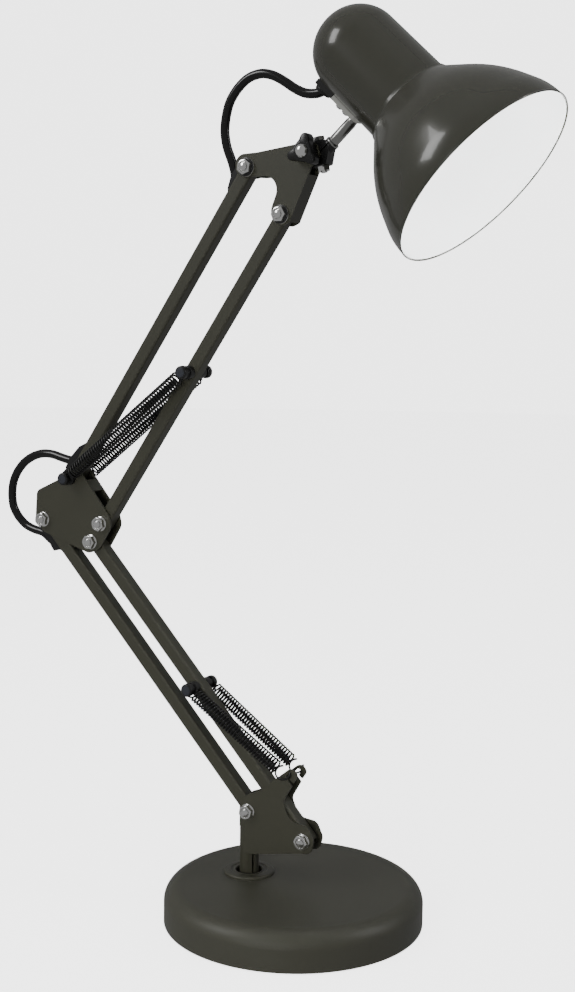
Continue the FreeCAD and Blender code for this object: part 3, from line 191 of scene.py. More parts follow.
# ---------------------------------------------------------------------------------------------
# Mesh building
# ---------------------------------------------------------------------------------------------
class Shape:
    """Collects surfaces, in millimetres, into one mesh."""

    def __init__(self):
        self.verts, self.faces, self.kinds = [], [], []

    def grid(self, rows, kind=0, close_rows=False, caps=(False, False)):
        """Rings of points, each a closed ring, skinned one to the next."""
        start = len(self.verts)
        count, width = len(rows), len(rows[0])
        for row in rows:
            self.verts += [tuple(p) for p in row]
        for i in range(count if close_rows else count - 1):
            a, b = start + i * width, start + ((i + 1) % count) * width
            for j in range(width):
                k = (j + 1) % width
                self.faces.append((a + j, a + k, b + k, b + j))
                self.kinds.append(kind)
        if caps[0]:
            self.faces.append(tuple(start + j for j in reversed(range(width))))
            self.kinds.append(kind)
        if caps[1]:
            last = start + (count - 1) * width
            self.faces.append(tuple(last + j for j in range(width)))
            self.kinds.append(kind)
        return self

    def lathe(self, place, profile, kind=0, turns=48, closed=False, ends=True, radius_at=None):
        """A profile of (radius, height) turned about place's Z axis.

        A closed profile is a ring and has no ends. An open one gets a flat disc at each end, unless ends
        is False. radius_at reshapes a ring, as for a hexagon.
        """
        rows = []
        for radius, height in profile:
            row = []
            for j in range(turns):
                angle = 2 * math.pi * j / turns
                r = radius_at(radius, angle) if radius_at else radius
                row.append(place @ Vector((r * math.cos(angle), r * math.sin(angle), height)))
            rows.append(row)
        capped = ends and not closed
        return self.grid(rows, kind, close_rows=closed, caps=(capped, capped))

    def tube(self, path, radius, kind=0, sides=12, caps=(True, True)):
        """A round tube along a path of points."""
        points = [Vector(p) for p in path]
        tangents = []
        for i in range(len(points)):
            a, b = points[max(i - 1, 0)], points[min(i + 1, len(points) - 1)]
            tangents.append((b - a).normalized())
        side = tangents[0].cross(Vector((0.0, 1.0, 0.03))).normalized()
        rows = []
        for point, tangent in zip(points, tangents):
            side = (side - tangent * side.dot(tangent)).normalized()
            up = tangent.cross(side)
            rows.append(
                [
                    point
                    + side * (radius * math.cos(2 * math.pi * j / sides))
                    + up * (radius * math.sin(2 * math.pi * j / sides))
                    for j in range(sides)
                ]
            )
        return self.grid(rows, kind, caps=caps)

    def build(self, name, *materials, sharp=38.0):
        """The mesh object, in metres, with edges sharper than an angle in degrees kept hard."""
        name = "look_" + name.replace(" ", "_").replace(",", "")
        mesh = bpy.data.meshes.new(name)
        mesh.from_pydata([tuple(c * MM for c in v) for v in self.verts], [], self.faces)
        for m in materials:
            mesh.materials.append(m)
        for polygon, kind in zip(mesh.polygons, self.kinds):
            polygon.material_index = kind
            polygon.use_smooth = True
        mesh.update()
        mesh.validate()
        mesh.set_sharp_from_angle(angle=math.radians(sharp))
        piece = bpy.data.objects.new(name, mesh)
        bpy.context.scene.collection.objects.link(piece)
        return piece


def keep(piece, body, slot, *replaced):
    """The piece moves with a body and stands for CAD nodes, which are hidden. The slot is not used."""
    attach(piece, body)
    if replaced:
        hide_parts(*replaced)
    return piece


def rounded(points, steps=6):
    """A profile through (r, z, radius) corners, each rounded with its radius."""
    spots = [np.array(p[:2], float) for p in points]
    result = []
    for i, point in enumerate(points):
        radius = point[2] if len(point) > 2 else 0
        if not radius or i in (0, len(points) - 1):
            result.append(tuple(spots[i]))
            continue
        into = spots[i] - spots[i - 1]
        out = spots[i + 1] - spots[i]
        into, out = into / np.linalg.norm(into), out / np.linalg.norm(out)
        turn = math.acos(np.clip(into @ out, -1, 1))
        if turn < 1e-4:
            result.append(tuple(spots[i]))
            continue
        reach = radius * math.tan(turn / 2)
        side = 1.0 if into[0] * out[1] - into[1] * out[0] > 0 else -1.0
        centre = spots[i] - into * reach + side * radius * np.array([-into[1], into[0]])
        arm = spots[i] - into * reach - centre
        count = max(2, int(steps * turn / 0.8))
        for k in range(count + 1):
            a = side * turn * k / count
            result.append(
                (
                    centre[0] + arm[0] * math.cos(a) - arm[1] * math.sin(a),
                    centre[1] + arm[0] * math.sin(a) + arm[1] * math.cos(a),
                )
            )
    return result


def hexagonal(across):
    """Reshapes a ring to a hexagon no wider than the ring's own radius."""

    def shape(radius, angle):
        flat = (across / 2) / math.cos((angle % (math.pi / 3)) - math.pi / 6)
        return min(radius, flat)

    return shape


def hex_piece(shape, place, across, height, kind=0, bore=0.0):
    """A hexagon with its corners turned off at both ends."""
    face = across / 2 * 0.97
    corner = across / 2 / math.cos(math.pi / 6)
    drop = (corner - face) * 0.58
    steps = 5
    profile = [(bore, 0.0)] if bore else []
    for i in range(steps + 1):
        profile.append((face + (corner - face) * i / steps, drop * i / steps))
    for i in range(steps + 1):
        profile.append((face + (corner - face) * (steps - i) / steps, height - drop + drop * i / steps))
    if bore:
        profile += [(bore + 0.9, height), (bore, height - 0.8)]
    shape.lathe(place, profile, kind, turns=72, closed=bool(bore), radius_at=hexagonal(across))


# ---------------------------------------------------------------------------------------------
# Base
# ---------------------------------------------------------------------------------------------
UP = Matrix.Identity(4)
swivel = axes((SWIVEL_X, 0, 0), (0, 0, 1))
COVER_TURNS = 160
COVER_TOP, COVER_UNDERSIDE, COVER_FOOT = 25.5, 24.0, 1.0
COVER_RADIUS, COVER_INSIDE = 85, 83.5
SWIVEL_HOLE = 10.6

cover = Shape()
outer = rounded([(0, COVER_TOP), (COVER_RADIUS, COVER_TOP, 11), (COVER_RADIUS, COVER_FOOT)], 14)[1:]
inner_corners = [(COVER_INSIDE, COVER_FOOT), (COVER_INSIDE, COVER_UNDERSIDE, 9.5), (0, COVER_UNDERSIDE)]
inner = rounded(inner_corners, 10)[:-1]


def disc_with_hole(shape, centre_x, radius, height, flip):
    """A flat ring between a circle about the swivel and a circle about the base's centre."""
    rows = []
    for weight in (0.0, 0.2, 0.45, 0.7, 1.0):
        row = []
        for j in range(COVER_TURNS):
            a = 2 * math.pi * j / COVER_TURNS
            near = np.array([centre_x + SWIVEL_HOLE * math.cos(a), SWIVEL_HOLE * math.sin(a)])
            far = np.array([radius * math.cos(a), radius * math.sin(a)])
            p = near * (1 - weight) + far * weight
            row.append((p[0], p[1], height))
        rows.append(row)
    shape.grid(rows[::-1] if flip else rows)


disc_with_hole(cover, SWIVEL_X, outer[0][0], COVER_TOP, True)
cover.lathe(UP, outer + inner, turns=COVER_TURNS, ends=False)
disc_with_hole(cover, SWIVEL_X, inner[-1][0], COVER_UNDERSIDE, False)
keep(cover.build("base cover", base_coat), "base", "powder_coat", "base_cover")

COLLAR_TUBE = [(8.8, 3.0), (10.5, 3.0), (10.5, COVER_TOP)]
COLLAR_FLANGE = [(17.0, COVER_TOP), (17.0, 27.3, 1.3), (12.5, 27.5, 0.6)]
COLLAR_GROOVE = [(12.0, 26.9, 0.4), (10.2, 26.9, 0.4), (9.8, 27.3, 0.4), (8.8, 27.1, 0.5), (8.8, 3.0)]
collar = Shape()
collar.lathe(swivel, rounded(COLLAR_TUBE + COLLAR_FLANGE + COLLAR_GROOVE, 5)[:-1], turns=96, closed=True)
keep(collar.build("swivel collar", powder), "base", "powder_coat", "swivel_socket")


# ---------------------------------------------------------------------------------------------
# Fasteners
# ---------------------------------------------------------------------------------------------
WASHER_THICK = 0.8
WASHER_OUT = PLATE_OUT + WASHER_THICK
HEX_ACROSS = 8.8
NUT_HEIGHT, BOLT_HEAD_HEIGHT = 3.2, 3.5
THREAD_OUT = 0.9


def nuts(name, body, spots, node):
    """Nuts in front, each turned a little further than the one before."""
    shape = Shape()
    for i, spot in enumerate(spots):
        place = front(spot, -WASHER_OUT) @ Matrix.Rotation(0.35 + 0.7 * i, 4, "Z")
        hex_piece(shape, place, HEX_ACROSS, NUT_HEIGHT, bore=2.4)
    keep(shape.build(name, chrome), body, "chrome", node)


def bolts(name, body, spots, node):
    """Hexagon heads behind, shanks through and domed ends standing out of the nuts."""
    shape = Shape()
    for i, spot in enumerate(spots):
        place = rear(spot, WASHER_OUT) @ Matrix.Rotation(0.5 * i, 4, "Z")
        hex_piece(shape, place, HEX_ACROSS, BOLT_HEAD_HEIGHT)
        length = WASHER_OUT + NUT_HEIGHT + THREAD_OUT + WASHER_OUT
        shape.lathe(
            front(spot, WASHER_OUT),
            [(2.45, 0.0), (2.45, length - 1.5), (2.3, length - 0.8), (1.7, length - 0.25), (0.8, length)],
            turns=24,
        )
        shape.lathe(
            front(spot, -(WASHER_OUT + NUT_HEIGHT - 0.05)),
            [(2.5, 0.0), (2.5, 0.12), (2.25, 0.3), (2.5, 0.45), (2.4, 0.6), (2.1, 0.8)],
            turns=24,
        )
    keep(shape.build(name, chrome), body, "chrome", node)


def washers(name, body, spots, node, radius, finish, slot):
    """A washer on each side of the plates. A black one has a worn, bright edge."""
    shape = Shape()
    wide = radius + 0.03
    face = [(2.6, 0), (radius - 0.2, 0), (radius, 0.2), (radius, 0.5)]
    profile = face + [(radius - 0.3, WASHER_THICK), (2.6, WASHER_THICK)]
    edge = [(radius - 0.1, 0.1), (wide, 0.2), (wide, 0.5), (radius - 0.28, 0.82), (radius - 0.4, 0.7)]
    for spot in spots:
        for place in (front(spot, -PLATE_OUT), rear(spot, PLATE_OUT)):
            shape.lathe(place, profile, turns=64, closed=True)
            if finish is black_washer:
                shape.lathe(place, edge, 1, turns=64, closed=True)
    keep(shape.build(name, finish, zinc, sharp=50), body, slot, node)


SETS = (
    ("base", "mast", (FOOT_REAR, FOOT_FRONT), (5.3, chrome, "chrome")),
    ("elbow", "elbow", (ELBOW_REAR, ELBOW_FRONT, ARM_FRONT), (5.3, chrome, "chrome")),
    ("head", "head", (HEAD_REAR, HEAD_FRONT), (6.2, black_washer, "black_washer")),
)
for prefix, body, spots, washer_look in SETS:
    nuts(f"{prefix} nuts", body, spots, f"{prefix}_pivot_nuts")
    bolts(f"{prefix} bolts", body, spots, f"{prefix}_pivot_bolts")
    washers(f"{prefix} washers", body, spots, f"{prefix}_washers", *washer_look)


# ---------------------------------------------------------------------------------------------
# Spring posts
# ---------------------------------------------------------------------------------------------
SPRING_Y = 11.6
POST_RADIUS, GROOVE_RADIUS = 4.4, 2.9
POST_END = 16.2


def post(name, body, spot, inner, node):
    """A spool at each side: collar, groove for the spring's ring, and a rounded head.

    The spools start inner millimetres from the lamp's middle plane.
    """
    shape = Shape()
    end = POST_END - inner
    collar_part = [(0, 0), (POST_RADIUS, 0), (POST_RADIUS, 9.2 - inner, 0.6)]
    groove = [(GROOVE_RADIUS, 9.5 - inner, 0.5), (GROOVE_RADIUS, 12.3 - inner, 0.5)]
    head = [(POST_RADIUS, 12.6 - inner, 0.5), (POST_RADIUS, end, 1.1), (0, end)]
    profile = rounded(collar_part + groove + head, 4)[1:-1]
    for place in (front(spot, -inner), rear(spot, inner)):
        shape.lathe(place, profile, turns=40)
        core = place @ Matrix.Translation((0, 0, 16.1 - inner))
        shape.lathe(core, [(3.1, 0), (3.1, 0.16), (2.9, 0.2)], kind=1, turns=40)
    shape.lathe(rear(spot, -inner - 0.2), [(2.45, 0), (2.45, 2 * inner + 0.4)], turns=24)
    keep(shape.build(name, black_plastic, post_grey), body, "post_steel", node)


post("lower spring post", "lower_front_link", LOWER_POST, TUBE_RADIUS, "lower_spring_post")
post("upper spring post", "upper_front_link", UPPER_POST, TUBE_RADIUS, "upper_spring_post")
post("elbow spring post", "elbow", ARM_REAR, PLATE_OUT, "elbow_spring_post")


# ---------------------------------------------------------------------------------------------
# Springs
# ---------------------------------------------------------------------------------------------
WIRE = 0.65  # half the wire's thickness
EYE = 4.65  # radius of an end ring, on the wire's centre line
COIL = 4.35  # radius of the coils, on the wire's centre line
HOOK_Y = 8.6
POST_TO_EYE, HOOK_TO_EYE = 1.15, 3.85
EYE_OVERLAP = 0.6
EYE_OPEN, EYE_SHUT = math.radians(-235), math.radians(48)
LOWER_PITCH, UPPER_PITCH = 2.2, 2.3
STEPS_A_TURN = 20
LEAD_IN_STEPS = 8


def spline(points, spacing):
    """Points evenly spaced along a Catmull-Rom curve."""
    p = np.array(points, float)
    p = np.vstack([2 * p[0] - p[1], p, 2 * p[-1] - p[-2]])
    result = []
    for i in range(1, len(p) - 2):
        count = max(1, int(np.linalg.norm(p[i + 1] - p[i]) / spacing))
        for k in range(count):
            t = k / count
            a, b, c, d = p[i - 1], p[i], p[i + 1], p[i + 2]
            lower_terms = 2 * b + (c - a) * t + (2 * a - 5 * b + 4 * c - d) * t * t
            result.append(0.5 * (lower_terms + (3 * b - a - 3 * c + d) * t**3))
    result.append(p[-2])
    return result


def eye_ring(centre, heading, side, first, last, count=26):
    """Part of a ring about centre, by angle from heading towards side."""
    angles = np.linspace(first, last, count)
    return [centre + EYE * (math.cos(a) * heading + math.sin(a) * side) for a in angles]


def spring(name, first, last, pitch, hooked, node):
    """A tension spring from the post at first to last, which is a post, or a hook in a plate."""
    first, last = np.array(first), np.array(last)
    heading = (last - first) / np.linalg.norm(last - first)
    depth = np.array([0.0, 1.0, 0.0])
    eye_a = first + heading * POST_TO_EYE
    eye_b = last - heading * (HOOK_TO_EYE if hooked else POST_TO_EYE)
    heading = (eye_b - eye_a) / np.linalg.norm(eye_b - eye_a)
    side = np.cross(heading, depth)
    side /= np.linalg.norm(side)
    length = np.linalg.norm(eye_b - eye_a) - 2 * (EYE - EYE_OVERLAP)
    turns = round(length / pitch) + (0.25 if hooked else 0.0)
    start = eye_a + heading * (EYE - EYE_OVERLAP)
    path = spline(eye_ring(eye_a, heading, side, EYE_OPEN, EYE_SHUT), 0.6)
    steps = int(turns * STEPS_A_TURN)
    coil = []
    for i in range(LEAD_IN_STEPS, steps - LEAD_IN_STEPS + 1):
        angle = 2 * math.pi * turns * i / steps
        where = i / steps
        out_from_axis = COIL * (math.cos(angle) * side + math.sin(angle) * depth)
        coil.append(start + heading * (length * where) + out_from_axis)
    ring_side = 0.75 * side + 0.66 * depth if hooked else side
    ring = eye_ring(eye_b, -heading, ring_side, EYE_SHUT, EYE_OPEN)
    path = path[:-1] + spline([path[-1]] + coil[::4] + [ring[0]], 0.7) + list(ring[1:])
    shape = Shape()
    shape.tube(path, WIRE, sides=8)
    piece = shape.build(name, black_wire, sharp=180)
    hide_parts(node)
    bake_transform(piece)
    return piece


for side_name, side in (("front", -1), ("rear", 1)):
    y = side * SPRING_Y
    spring(
        f"lower spring {side_name}",
        (LOWER_POST[0], y, LOWER_POST[1]),
        (HOOK[0], side * HOOK_Y, HOOK[1]),
        LOWER_PITCH,
        True,
        f"lower_spring_{side_name}",
    )
    spring(
        f"upper spring {side_name}",
        (UPPER_POST[0], y, UPPER_POST[1]),
        (ARM_REAR[0], y, ARM_REAR[1]),
        UPPER_PITCH,
        False,
        f"upper_spring_{side_name}",
    )


# ---------------------------------------------------------------------------------------------
# Mains lead
# ---------------------------------------------------------------------------------------------
LEAD_RADIUS = 3.0
LEAD_STEP = 2.0


def in_shade(out, back):
    """A point of the XZ plane, from out and back in the shade's frame."""
    return RIM + np.array(
        [
            out * math.cos(SHADE_LEAN) + back * math.sin(SHADE_LEAN),
            -out * math.sin(SHADE_LEAN) + back * math.cos(SHADE_LEAN),
        ]
    )


ROUTE = [
    FOOT_REAR + along(LOWER_ANGLE, 24, 0),
    FOOT_REAR + along(LOWER_ANGLE, 219, 0),
    FOOT_REAR + along(LOWER_ANGLE, 236, 9.0),
    (-209.2, 240.0),
    (-217.6, 241.0),
    (-226.1, 243.9),
    (-233.0, 249.6),
    (-237.5, 256.5),
    (-238.6, 265.2),
    (-237.3, 274.3),
    (-233.4, 281.8),
    (-227.2, 288.7),
    (-218.8, 293.8),
    (-209.6, 296.4),
    (-200.6, 296.2),
    (-191.6, 293.9),
    ARM_REAR + along(UPPER_ANGLE, 7, 10),
    ARM_REAR + along(UPPER_ANGLE, 13, 3),
    ARM_REAR + along(UPPER_ANGLE, 25, 0),
    ARM_REAR + along(UPPER_ANGLE, 217, 0),
    ARM_REAR + along(UPPER_ANGLE, 231, 1.6),
    ARM_REAR + along(UPPER_ANGLE, 240.5, 8.2),
    (-52.5, 491.5),
    (-56.9, 501.2),
    (-58.6, 511.1),
    (-57.6, 519.8),
    (-55.0, 529.1),
    (-48.7, 537.4),
    (-40.6, 543.4),
    (-31.0, 545.2),
    (-22.9, 543.4),
    (-14.9, 539.3),
    (-6.6, 533.7),
    (1.5, 530.2),
    in_shade(-33.5, 118),
    in_shade(-15, 116.5),
    in_shade(-3, 108),
    in_shade(0, 98.9),
]


def lead_points():
    """The lead's centre line, one list of points for each run with the arc after it."""
    points = [np.array(p, float) for p in ROUTE]
    runs, cursor = [], points[0]
    for before, corner, after in zip(points, points[1:], points[2:]):
        reach = 0.45 * min(np.linalg.norm(corner - before), np.linalg.norm(after - corner))
        into = (corner - before) / np.linalg.norm(corner - before)
        out = (after - corner) / np.linalg.norm(after - corner)
        turn = math.acos(np.clip(into @ out, -1, 1))
        radius = reach / math.tan(turn / 2)
        sense = 1.0 if into[0] * out[1] - into[1] * out[0] > 0 else -1.0
        normal = sense * np.array([-into[1], into[0]])
        first = corner - into * reach
        arc = []
        count = max(2, int(math.degrees(turn) / 3))
        for k in range(count + 1):
            a = turn * k / count
            arc.append(first + into * radius * math.sin(a) + normal * radius * (1 - math.cos(a)))
        runs.append(([cursor, first], arc))
        cursor = arc[-1]
    runs.append(([cursor, points[-1]], []))
    return runs


LEAD_RUNS = lead_points()


def lead_piece(name, first, last, caps=(False, False)):
    """The lead from the middle of one run to the middle of another. None stands for the lead's own end."""
    path = []
    start = 0 if first is None else first
    end = len(LEAD_RUNS) - 1 if last is None else last
    for i in range(start, end + 1):
        (a, b), arc = LEAD_RUNS[i]
        middle = (a + b) / 2
        if i == start and first is not None:
            a = middle
        if i == end and last is not None:
            b = middle
        steps = max(1, int(np.linalg.norm(b - a) / LEAD_STEP))
        path += [a + (b - a) * k / steps for k in range(steps + 1)]
        if i != end:
            path += arc[1:-1]
    clean = [path[0]]
    for p in path[1:]:
        if np.linalg.norm(p - clean[-1]) > 0.05:
            clean.append(p)
    shape = Shape()
    shape.tube([at(p) for p in clean], LEAD_RADIUS, sides=24, caps=caps)
    return shape.build(name, sheath, sharp=180), clean


def lead_run(name, first, last, body, node, caps):
    """A stretch of the lead that one body carries."""
    piece, _ = lead_piece(name, first, last, caps)
    keep(piece, body, "black_cable", node)


def lead_bend(name, first, last, node):
    """A stretch of a loop between two bodies, from its first point to its last; it is attached to neither."""
    piece, path = lead_piece(name, first, last)
    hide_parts(node)
    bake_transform(piece)


lead_run("lead in lower tube", None, 3, "lower_rear_link", "cable_lower_run", (True, False))
lead_bend("elbow_loop_lower", 3, 8, "cable_lower_loop")
lead_bend("elbow_loop_upper", 8, 14, "cable_lower_loop")
lead_run("lead in upper tube", 14, 21, "upper_rear_link", "cable_upper_run", (False, False))
lead_bend("head_loop_rising", 21, 26, "cable_upper_loop")
lead_bend("head_loop_crown", 26, 30, "cable_upper_loop")
lead_bend("head_loop_falling", 30, 33, "cable_upper_loop")
lead_run("lead in neck", 33, None, "shade", "cable_head_run", (False, True))


# ---------------------------------------------------------------------------------------------
# Shade
# ---------------------------------------------------------------------------------------------
BELL_OUTER = [(63.6, 1.2), (63.8, 8.7, 40.0), (52.7, 37.9, 90.0), (30.2, 64.3, 2.5), (29.9, 66.5)]
BELL_INNER = [(28.8, 66.5), (29.1, 63.9, 1.5), (51.5, 37.5, 89.0), (62.8, 8.4, 39.0), (62.7, 1.4)]
BEAD = [(62.85, 0.5), (63.2, 0.05), (63.6, 0.15), (63.85, 0.6)]
bell = Shape()
bell_outer = rounded(BELL_OUTER, 20)
bell_inner = rounded(BELL_INNER, 20)
for profile, kind in (
    (bell_outer, 0),
    (bell_inner, 1),
    ([bell_inner[-1]] + BEAD + [bell_outer[0]], 0),
    ([bell_outer[-1], bell_inner[0]], 0),
):
    bell.lathe(SHADE, profile, kind, turns=192, ends=False)
keep(bell.build("bell", enamel, white_enamel, sharp=50), "shade", "shade_enamel", "shade_bell")

neck = Shape()
neck.lathe(
    SHADE,
    rounded([(27.5, 62), (28.7, 62, 0.4), (27.8, 142, 27.0), (0.01, 142)], 26)
    + rounded([(0.01, 140.8), (26.6, 140.8, 25.8), (27.5, 62)], 20),
    turns=128,
    closed=True,
)
keep(neck.build("neck", enamel, sharp=50), "shade", "shade_enamel", "neck_cap")


def bent_plate(shape, half_turn, steps, section):
    """A plate round the back of the neck: a section of (radius, height) swept half_turn degrees each way."""
    rows = []
    for k in range(steps + 1):
        a = math.pi + math.radians(-half_turn + 2 * half_turn * k / steps)
        rows.append([SHADE @ Vector((r * math.cos(a), r * math.sin(a), back)) for r, back in section])
    shape.grid(rows, caps=(True, True))


# lamp holder inside the neck
SKIRT_RIM = [(14.4, 60), (19.5, 60, 1.2), (19.5, 66, 0.3), (18.9, 66.6, 0.3), (18.9, 70)]
SKIRT_BACK = [(19.5, 93, 3.0), (8, 97.8, 1.0), (3.1, 97.8), (3.1, 94), (14.4, 94)]
holder = Shape()
holder.lathe(SHADE, rounded(SKIRT_RIM + SKIRT_BACK, 5), turns=72, closed=True)
keep(holder.build("holder skirt", black_plastic), "shade", "black_plastic", "lamp_holder_skirt")

# the sleeve's thread is drawn as round waves one pitch apart
THREAD_PITCH, THREAD_DEPTH = 3.6, 0.45
THREAD_STEPS, THREAD_WAVES = 8, 8
sleeve = Shape()
thread = []
for k in range(THREAD_STEPS * THREAD_WAVES):
    wave = THREAD_DEPTH * (1 + math.cos(2 * math.pi * k / THREAD_STEPS)) / 2
    thread.append((13.3 + wave, 61.6 + THREAD_PITCH * k / THREAD_STEPS))
sleeve.lathe(SHADE, [(14.3, 61.5)] + thread + [(14.3, 90.4)], turns=64, closed=True)
keep(sleeve.build("holder sleeve", brass), "shade", "brass", "lamp_holder_sleeve")

# saddle plate with its screws, and the rod
SADDLE_SECTION = ((28.55, 86.6), (31.0, 86.6), (31.1, 86.9), (31.1, 106.1), (31.0, 106.4), (28.35, 106.4))
saddle = Shape()
bent_plate(saddle, 17.2, 16, SADDLE_SECTION)
keep(saddle.build("saddle", zinc, sharp=30), "shade", "chrome", "saddle_plate")

SCREWS_BACK = (97.2, 102.9)
# each screw head carries two black boxes in a cross: painted shade where its slots are
SLOT = ((-0.28, 1.3), (0.28, 1.3), (0.28, 1.84), (-0.28, 1.84))
screws = Shape()
for back in SCREWS_BACK:
    place = SHADE @ axes((-31.1, 0, back), (-1, 0, 0), (0, 0, 1))
    screws.lathe(place, [(2.55, 0), (2.55, 0.5), (2.3, 1.15), (1.6, 1.6), (0.9, 1.8)], turns=28)
    for turn in (0, math.pi / 2):
        slot_place = place @ Matrix.Rotation(turn + 0.4, 4, "Z")
        rows = []
        for x in (-1.3, 1.3):
            rows.append([slot_place @ Vector((x, y, z)) for y, z in SLOT])
        screws.grid(rows, 1, caps=(True, True))
    screws.lathe(SHADE @ axes((-24.2, 0, back), (-1, 0, 0), (0, 0, 1)), [(1.5, 0), (1.5, 7)], turns=16)
# the second finish is the painted shade of the slots
keep(screws.build("saddle screws", chrome, black_washer), "shade", "chrome", "saddle_screws")

ROD_ANGLE = math.radians(42.0)
ROD = axes((18.0, 0, 497.7), (math.cos(ROD_ANGLE), 0, math.sin(ROD_ANGLE)), (0, 1, 0))
ROD_RING = [(3.6, 2.5), (4.3, 2.5), (4.45, 2.7), (4.45, 3.7), (4.3, 3.9), (3.6, 3.9)]
rod = Shape()
rod.lathe(ROD, [(3.3, -2.5), (3.5, -2.2), (3.5, 20.2), (3.2, 20.6), (3.2, 22.1)], turns=40)
rod.lathe(ROD, ROD_RING, turns=40, closed=True)
keep(rod.build("rod", rod_steel), "shade", "chrome", "head_rod")

# gland on the neck
GLAND_SECTION = ((27.9, 107.6), (30.6, 107.6), (31.2, 108.4), (31.2, 121.7), (30.6, 122.4), (27.5, 122.4))
gland = Shape()
bent_plate(gland, 14, 12, GLAND_SECTION)
gland_place = SHADE @ axes((-30.6, 0, 118), (-1, 0, 0), (0, 0, 1))
gland.lathe(gland_place, [(5.6, 0), (5.6, 1.9), (5.2, 2.5), (3.1, 2.6), (3.05, 0)], turns=36, closed=True)
keep(gland.build("gland", black_plastic), "shade", "black_plastic", "cord_gland")

# ---------------------------------------------------------------------------------------------
# Head joint
# ---------------------------------------------------------------------------------------------
LOBES = [math.radians(a) for a in (79.0, 199.0, 319.0)]
LOBE_CENTRE, LOBE_RADIUS = 7.9, 3.1
FLANK_RADIUS, FLANK_LIMIT, FLANK_CURVE = 6.4, 9.4, 0.9
KNOB_POINTS = 120
# how far each ring lies in from the outline, and how far in front of the lamp's middle plane
KNOB_RINGS = (
    (1.4, 8.7),
    (0.5, 8.8),
    (0.05, 9.3),
    (0.0, 10.5),
    (0.0, 14.6),
    (0.2, 15.6),
    (0.5, 15.95),
    (0.9, 16.15),
)


def knob_radius(angle):
    """The three-lobed outline, by angle seen from the front, before it is smoothed."""
    best = 0.0
    for lobe in LOBES:
        d = (angle - lobe + math.pi) % (2 * math.pi) - math.pi
        if abs(d) <= math.pi / 3:
            best = max(best, min(FLANK_LIMIT, FLANK_RADIUS / math.cos(FLANK_CURVE * (math.pi / 3 - abs(d)))))
        across = abs(math.sin(d)) * LOBE_CENTRE
        if math.cos(d) > 0 and across < LOBE_RADIUS:
            best = max(best, LOBE_CENTRE * math.cos(d) + math.sqrt(LOBE_RADIUS**2 - across**2))
    return best


knob_angles = [2 * math.pi * j / KNOB_POINTS for j in range(KNOB_POINTS)]
outline = [knob_radius(a) for a in knob_angles]
for _ in range(3):
    outline = [
        (outline[j - 1] + 2 * outline[j] + outline[(j + 1) % KNOB_POINTS]) / 4 for j in range(KNOB_POINTS)
    ]


def knob_ring(radii, depth):
    """A ring of the knob, in front of the lamp's middle plane by depth."""
    row = []
    for a, r in zip(knob_angles, radii):
        row.append(at(KNUCKLE + np.array([math.cos(a), math.sin(a)]) * r, -depth))
    return row[::-1]


knob = Shape()
rows = [knob_ring([r - inset for r in outline], depth) for inset, depth in KNOB_RINGS]
rows.append(knob_ring([4.6] * KNOB_POINTS, 16.2))
rows.append(knob_ring([4.3] * KNOB_POINTS, 15.7))
knob.grid(rows, caps=(True, True))
knob.lathe(front(KNUCKLE, -6.5), [(5.6, 0), (5.6, 2.3)], turns=36)
keep(knob.build("knob", black_plastic, sharp=50), "knob", "black_plastic", "clamp_knob")

cap = Shape()
cap.lathe(
    front(KNUCKLE, -15.8),
    [(4.1, 0), (4.2, 0.9), (3.9, 1.3), (3.55, 1.9), (2.9, 2.5), (2.0, 2.9), (1.0, 3.15), (0.3, 3.2)],
    turns=40,
)
keep(cap.build("knob cap", chrome), "knob", "chrome", "knob_cap_nut")

# ---------------------------------------------------------------------------------------------
# CAD nodes that show as they are
# ---------------------------------------------------------------------------------------------
FINISH = {
    "base_bracket": powder,
    "elbow_bracket": powder,
    "head_bracket": powder,
    "lower_rear_tube": powder,
    "lower_front_tube": powder,
    "upper_rear_tube": powder,
    "upper_front_tube": powder,
    "base_weight": iron,
    "base_pad": pad_rubber,
    "socket_nut": zinc,
    "swivel_bush": nylon,
    "lower_rear_spacers": nylon,
    "lower_front_spacers": nylon,
    "upper_rear_spacers": nylon,
    "upper_front_spacers": nylon,
    "friction_washers": nylon,
    "cable_guide_lower": black_rubber,
    "cable_guide_elbow": black_rubber,
    "cable_guide_upper": black_rubber,
    "tilt_bolt": chrome,
    "knuckle_block": black_plastic,
    "knuckle_bolt": chrome,
    "knuckle_nut": chrome,
    "lamp_holder_contact": brass,
    "holder_bracket": zinc,
}
# radius of the rounding on a node's sharp edges, in millimetres
ROUNDED = {
    "base_bracket": 0.3,
    "elbow_bracket": 0.3,
    "head_bracket": 0.3,
    "knuckle_block": 0.5,
    "cable_guide_lower": 0.7,
    "cable_guide_elbow": 0.7,
    "cable_guide_upper": 0.7,
}
for name, finish in FINISH.items():
    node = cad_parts[name]
    node.data.materials.clear()
    node.data.materials.append(finish)
    if name in ROUNDED:
        weld = node.modifiers.new("weld", "WELD")
        weld.merge_threshold = 0.01 * MM
        bevel = node.modifiers.new("rounding", "BEVEL")
        bevel.width = ROUNDED[name] * MM
        bevel.segments = 3
        bevel.limit_method = "ANGLE"
        bevel.angle_limit = math.radians(40)

# ---------------------------------------------------------------------------------------------
# Stage: floor, lights and camera
# ---------------------------------------------------------------------------------------------
REACH = 6.0
FLOOR_GLOW = 3.1
SURROUND_GLOW = 3.5
WORLD_GLOW = 0.3


def glowing(name, color, roughness, glow):
    """A finish that gives off a white light of its own."""
    paint = material(name, color, roughness)
    shader = paint.node_tree.nodes["Principled BSDF"]
    shader.inputs["Emission Color"].default_value = (1, 1, 1, 1)
    shader.inputs["Emission Strength"].default_value = glow
    return paint


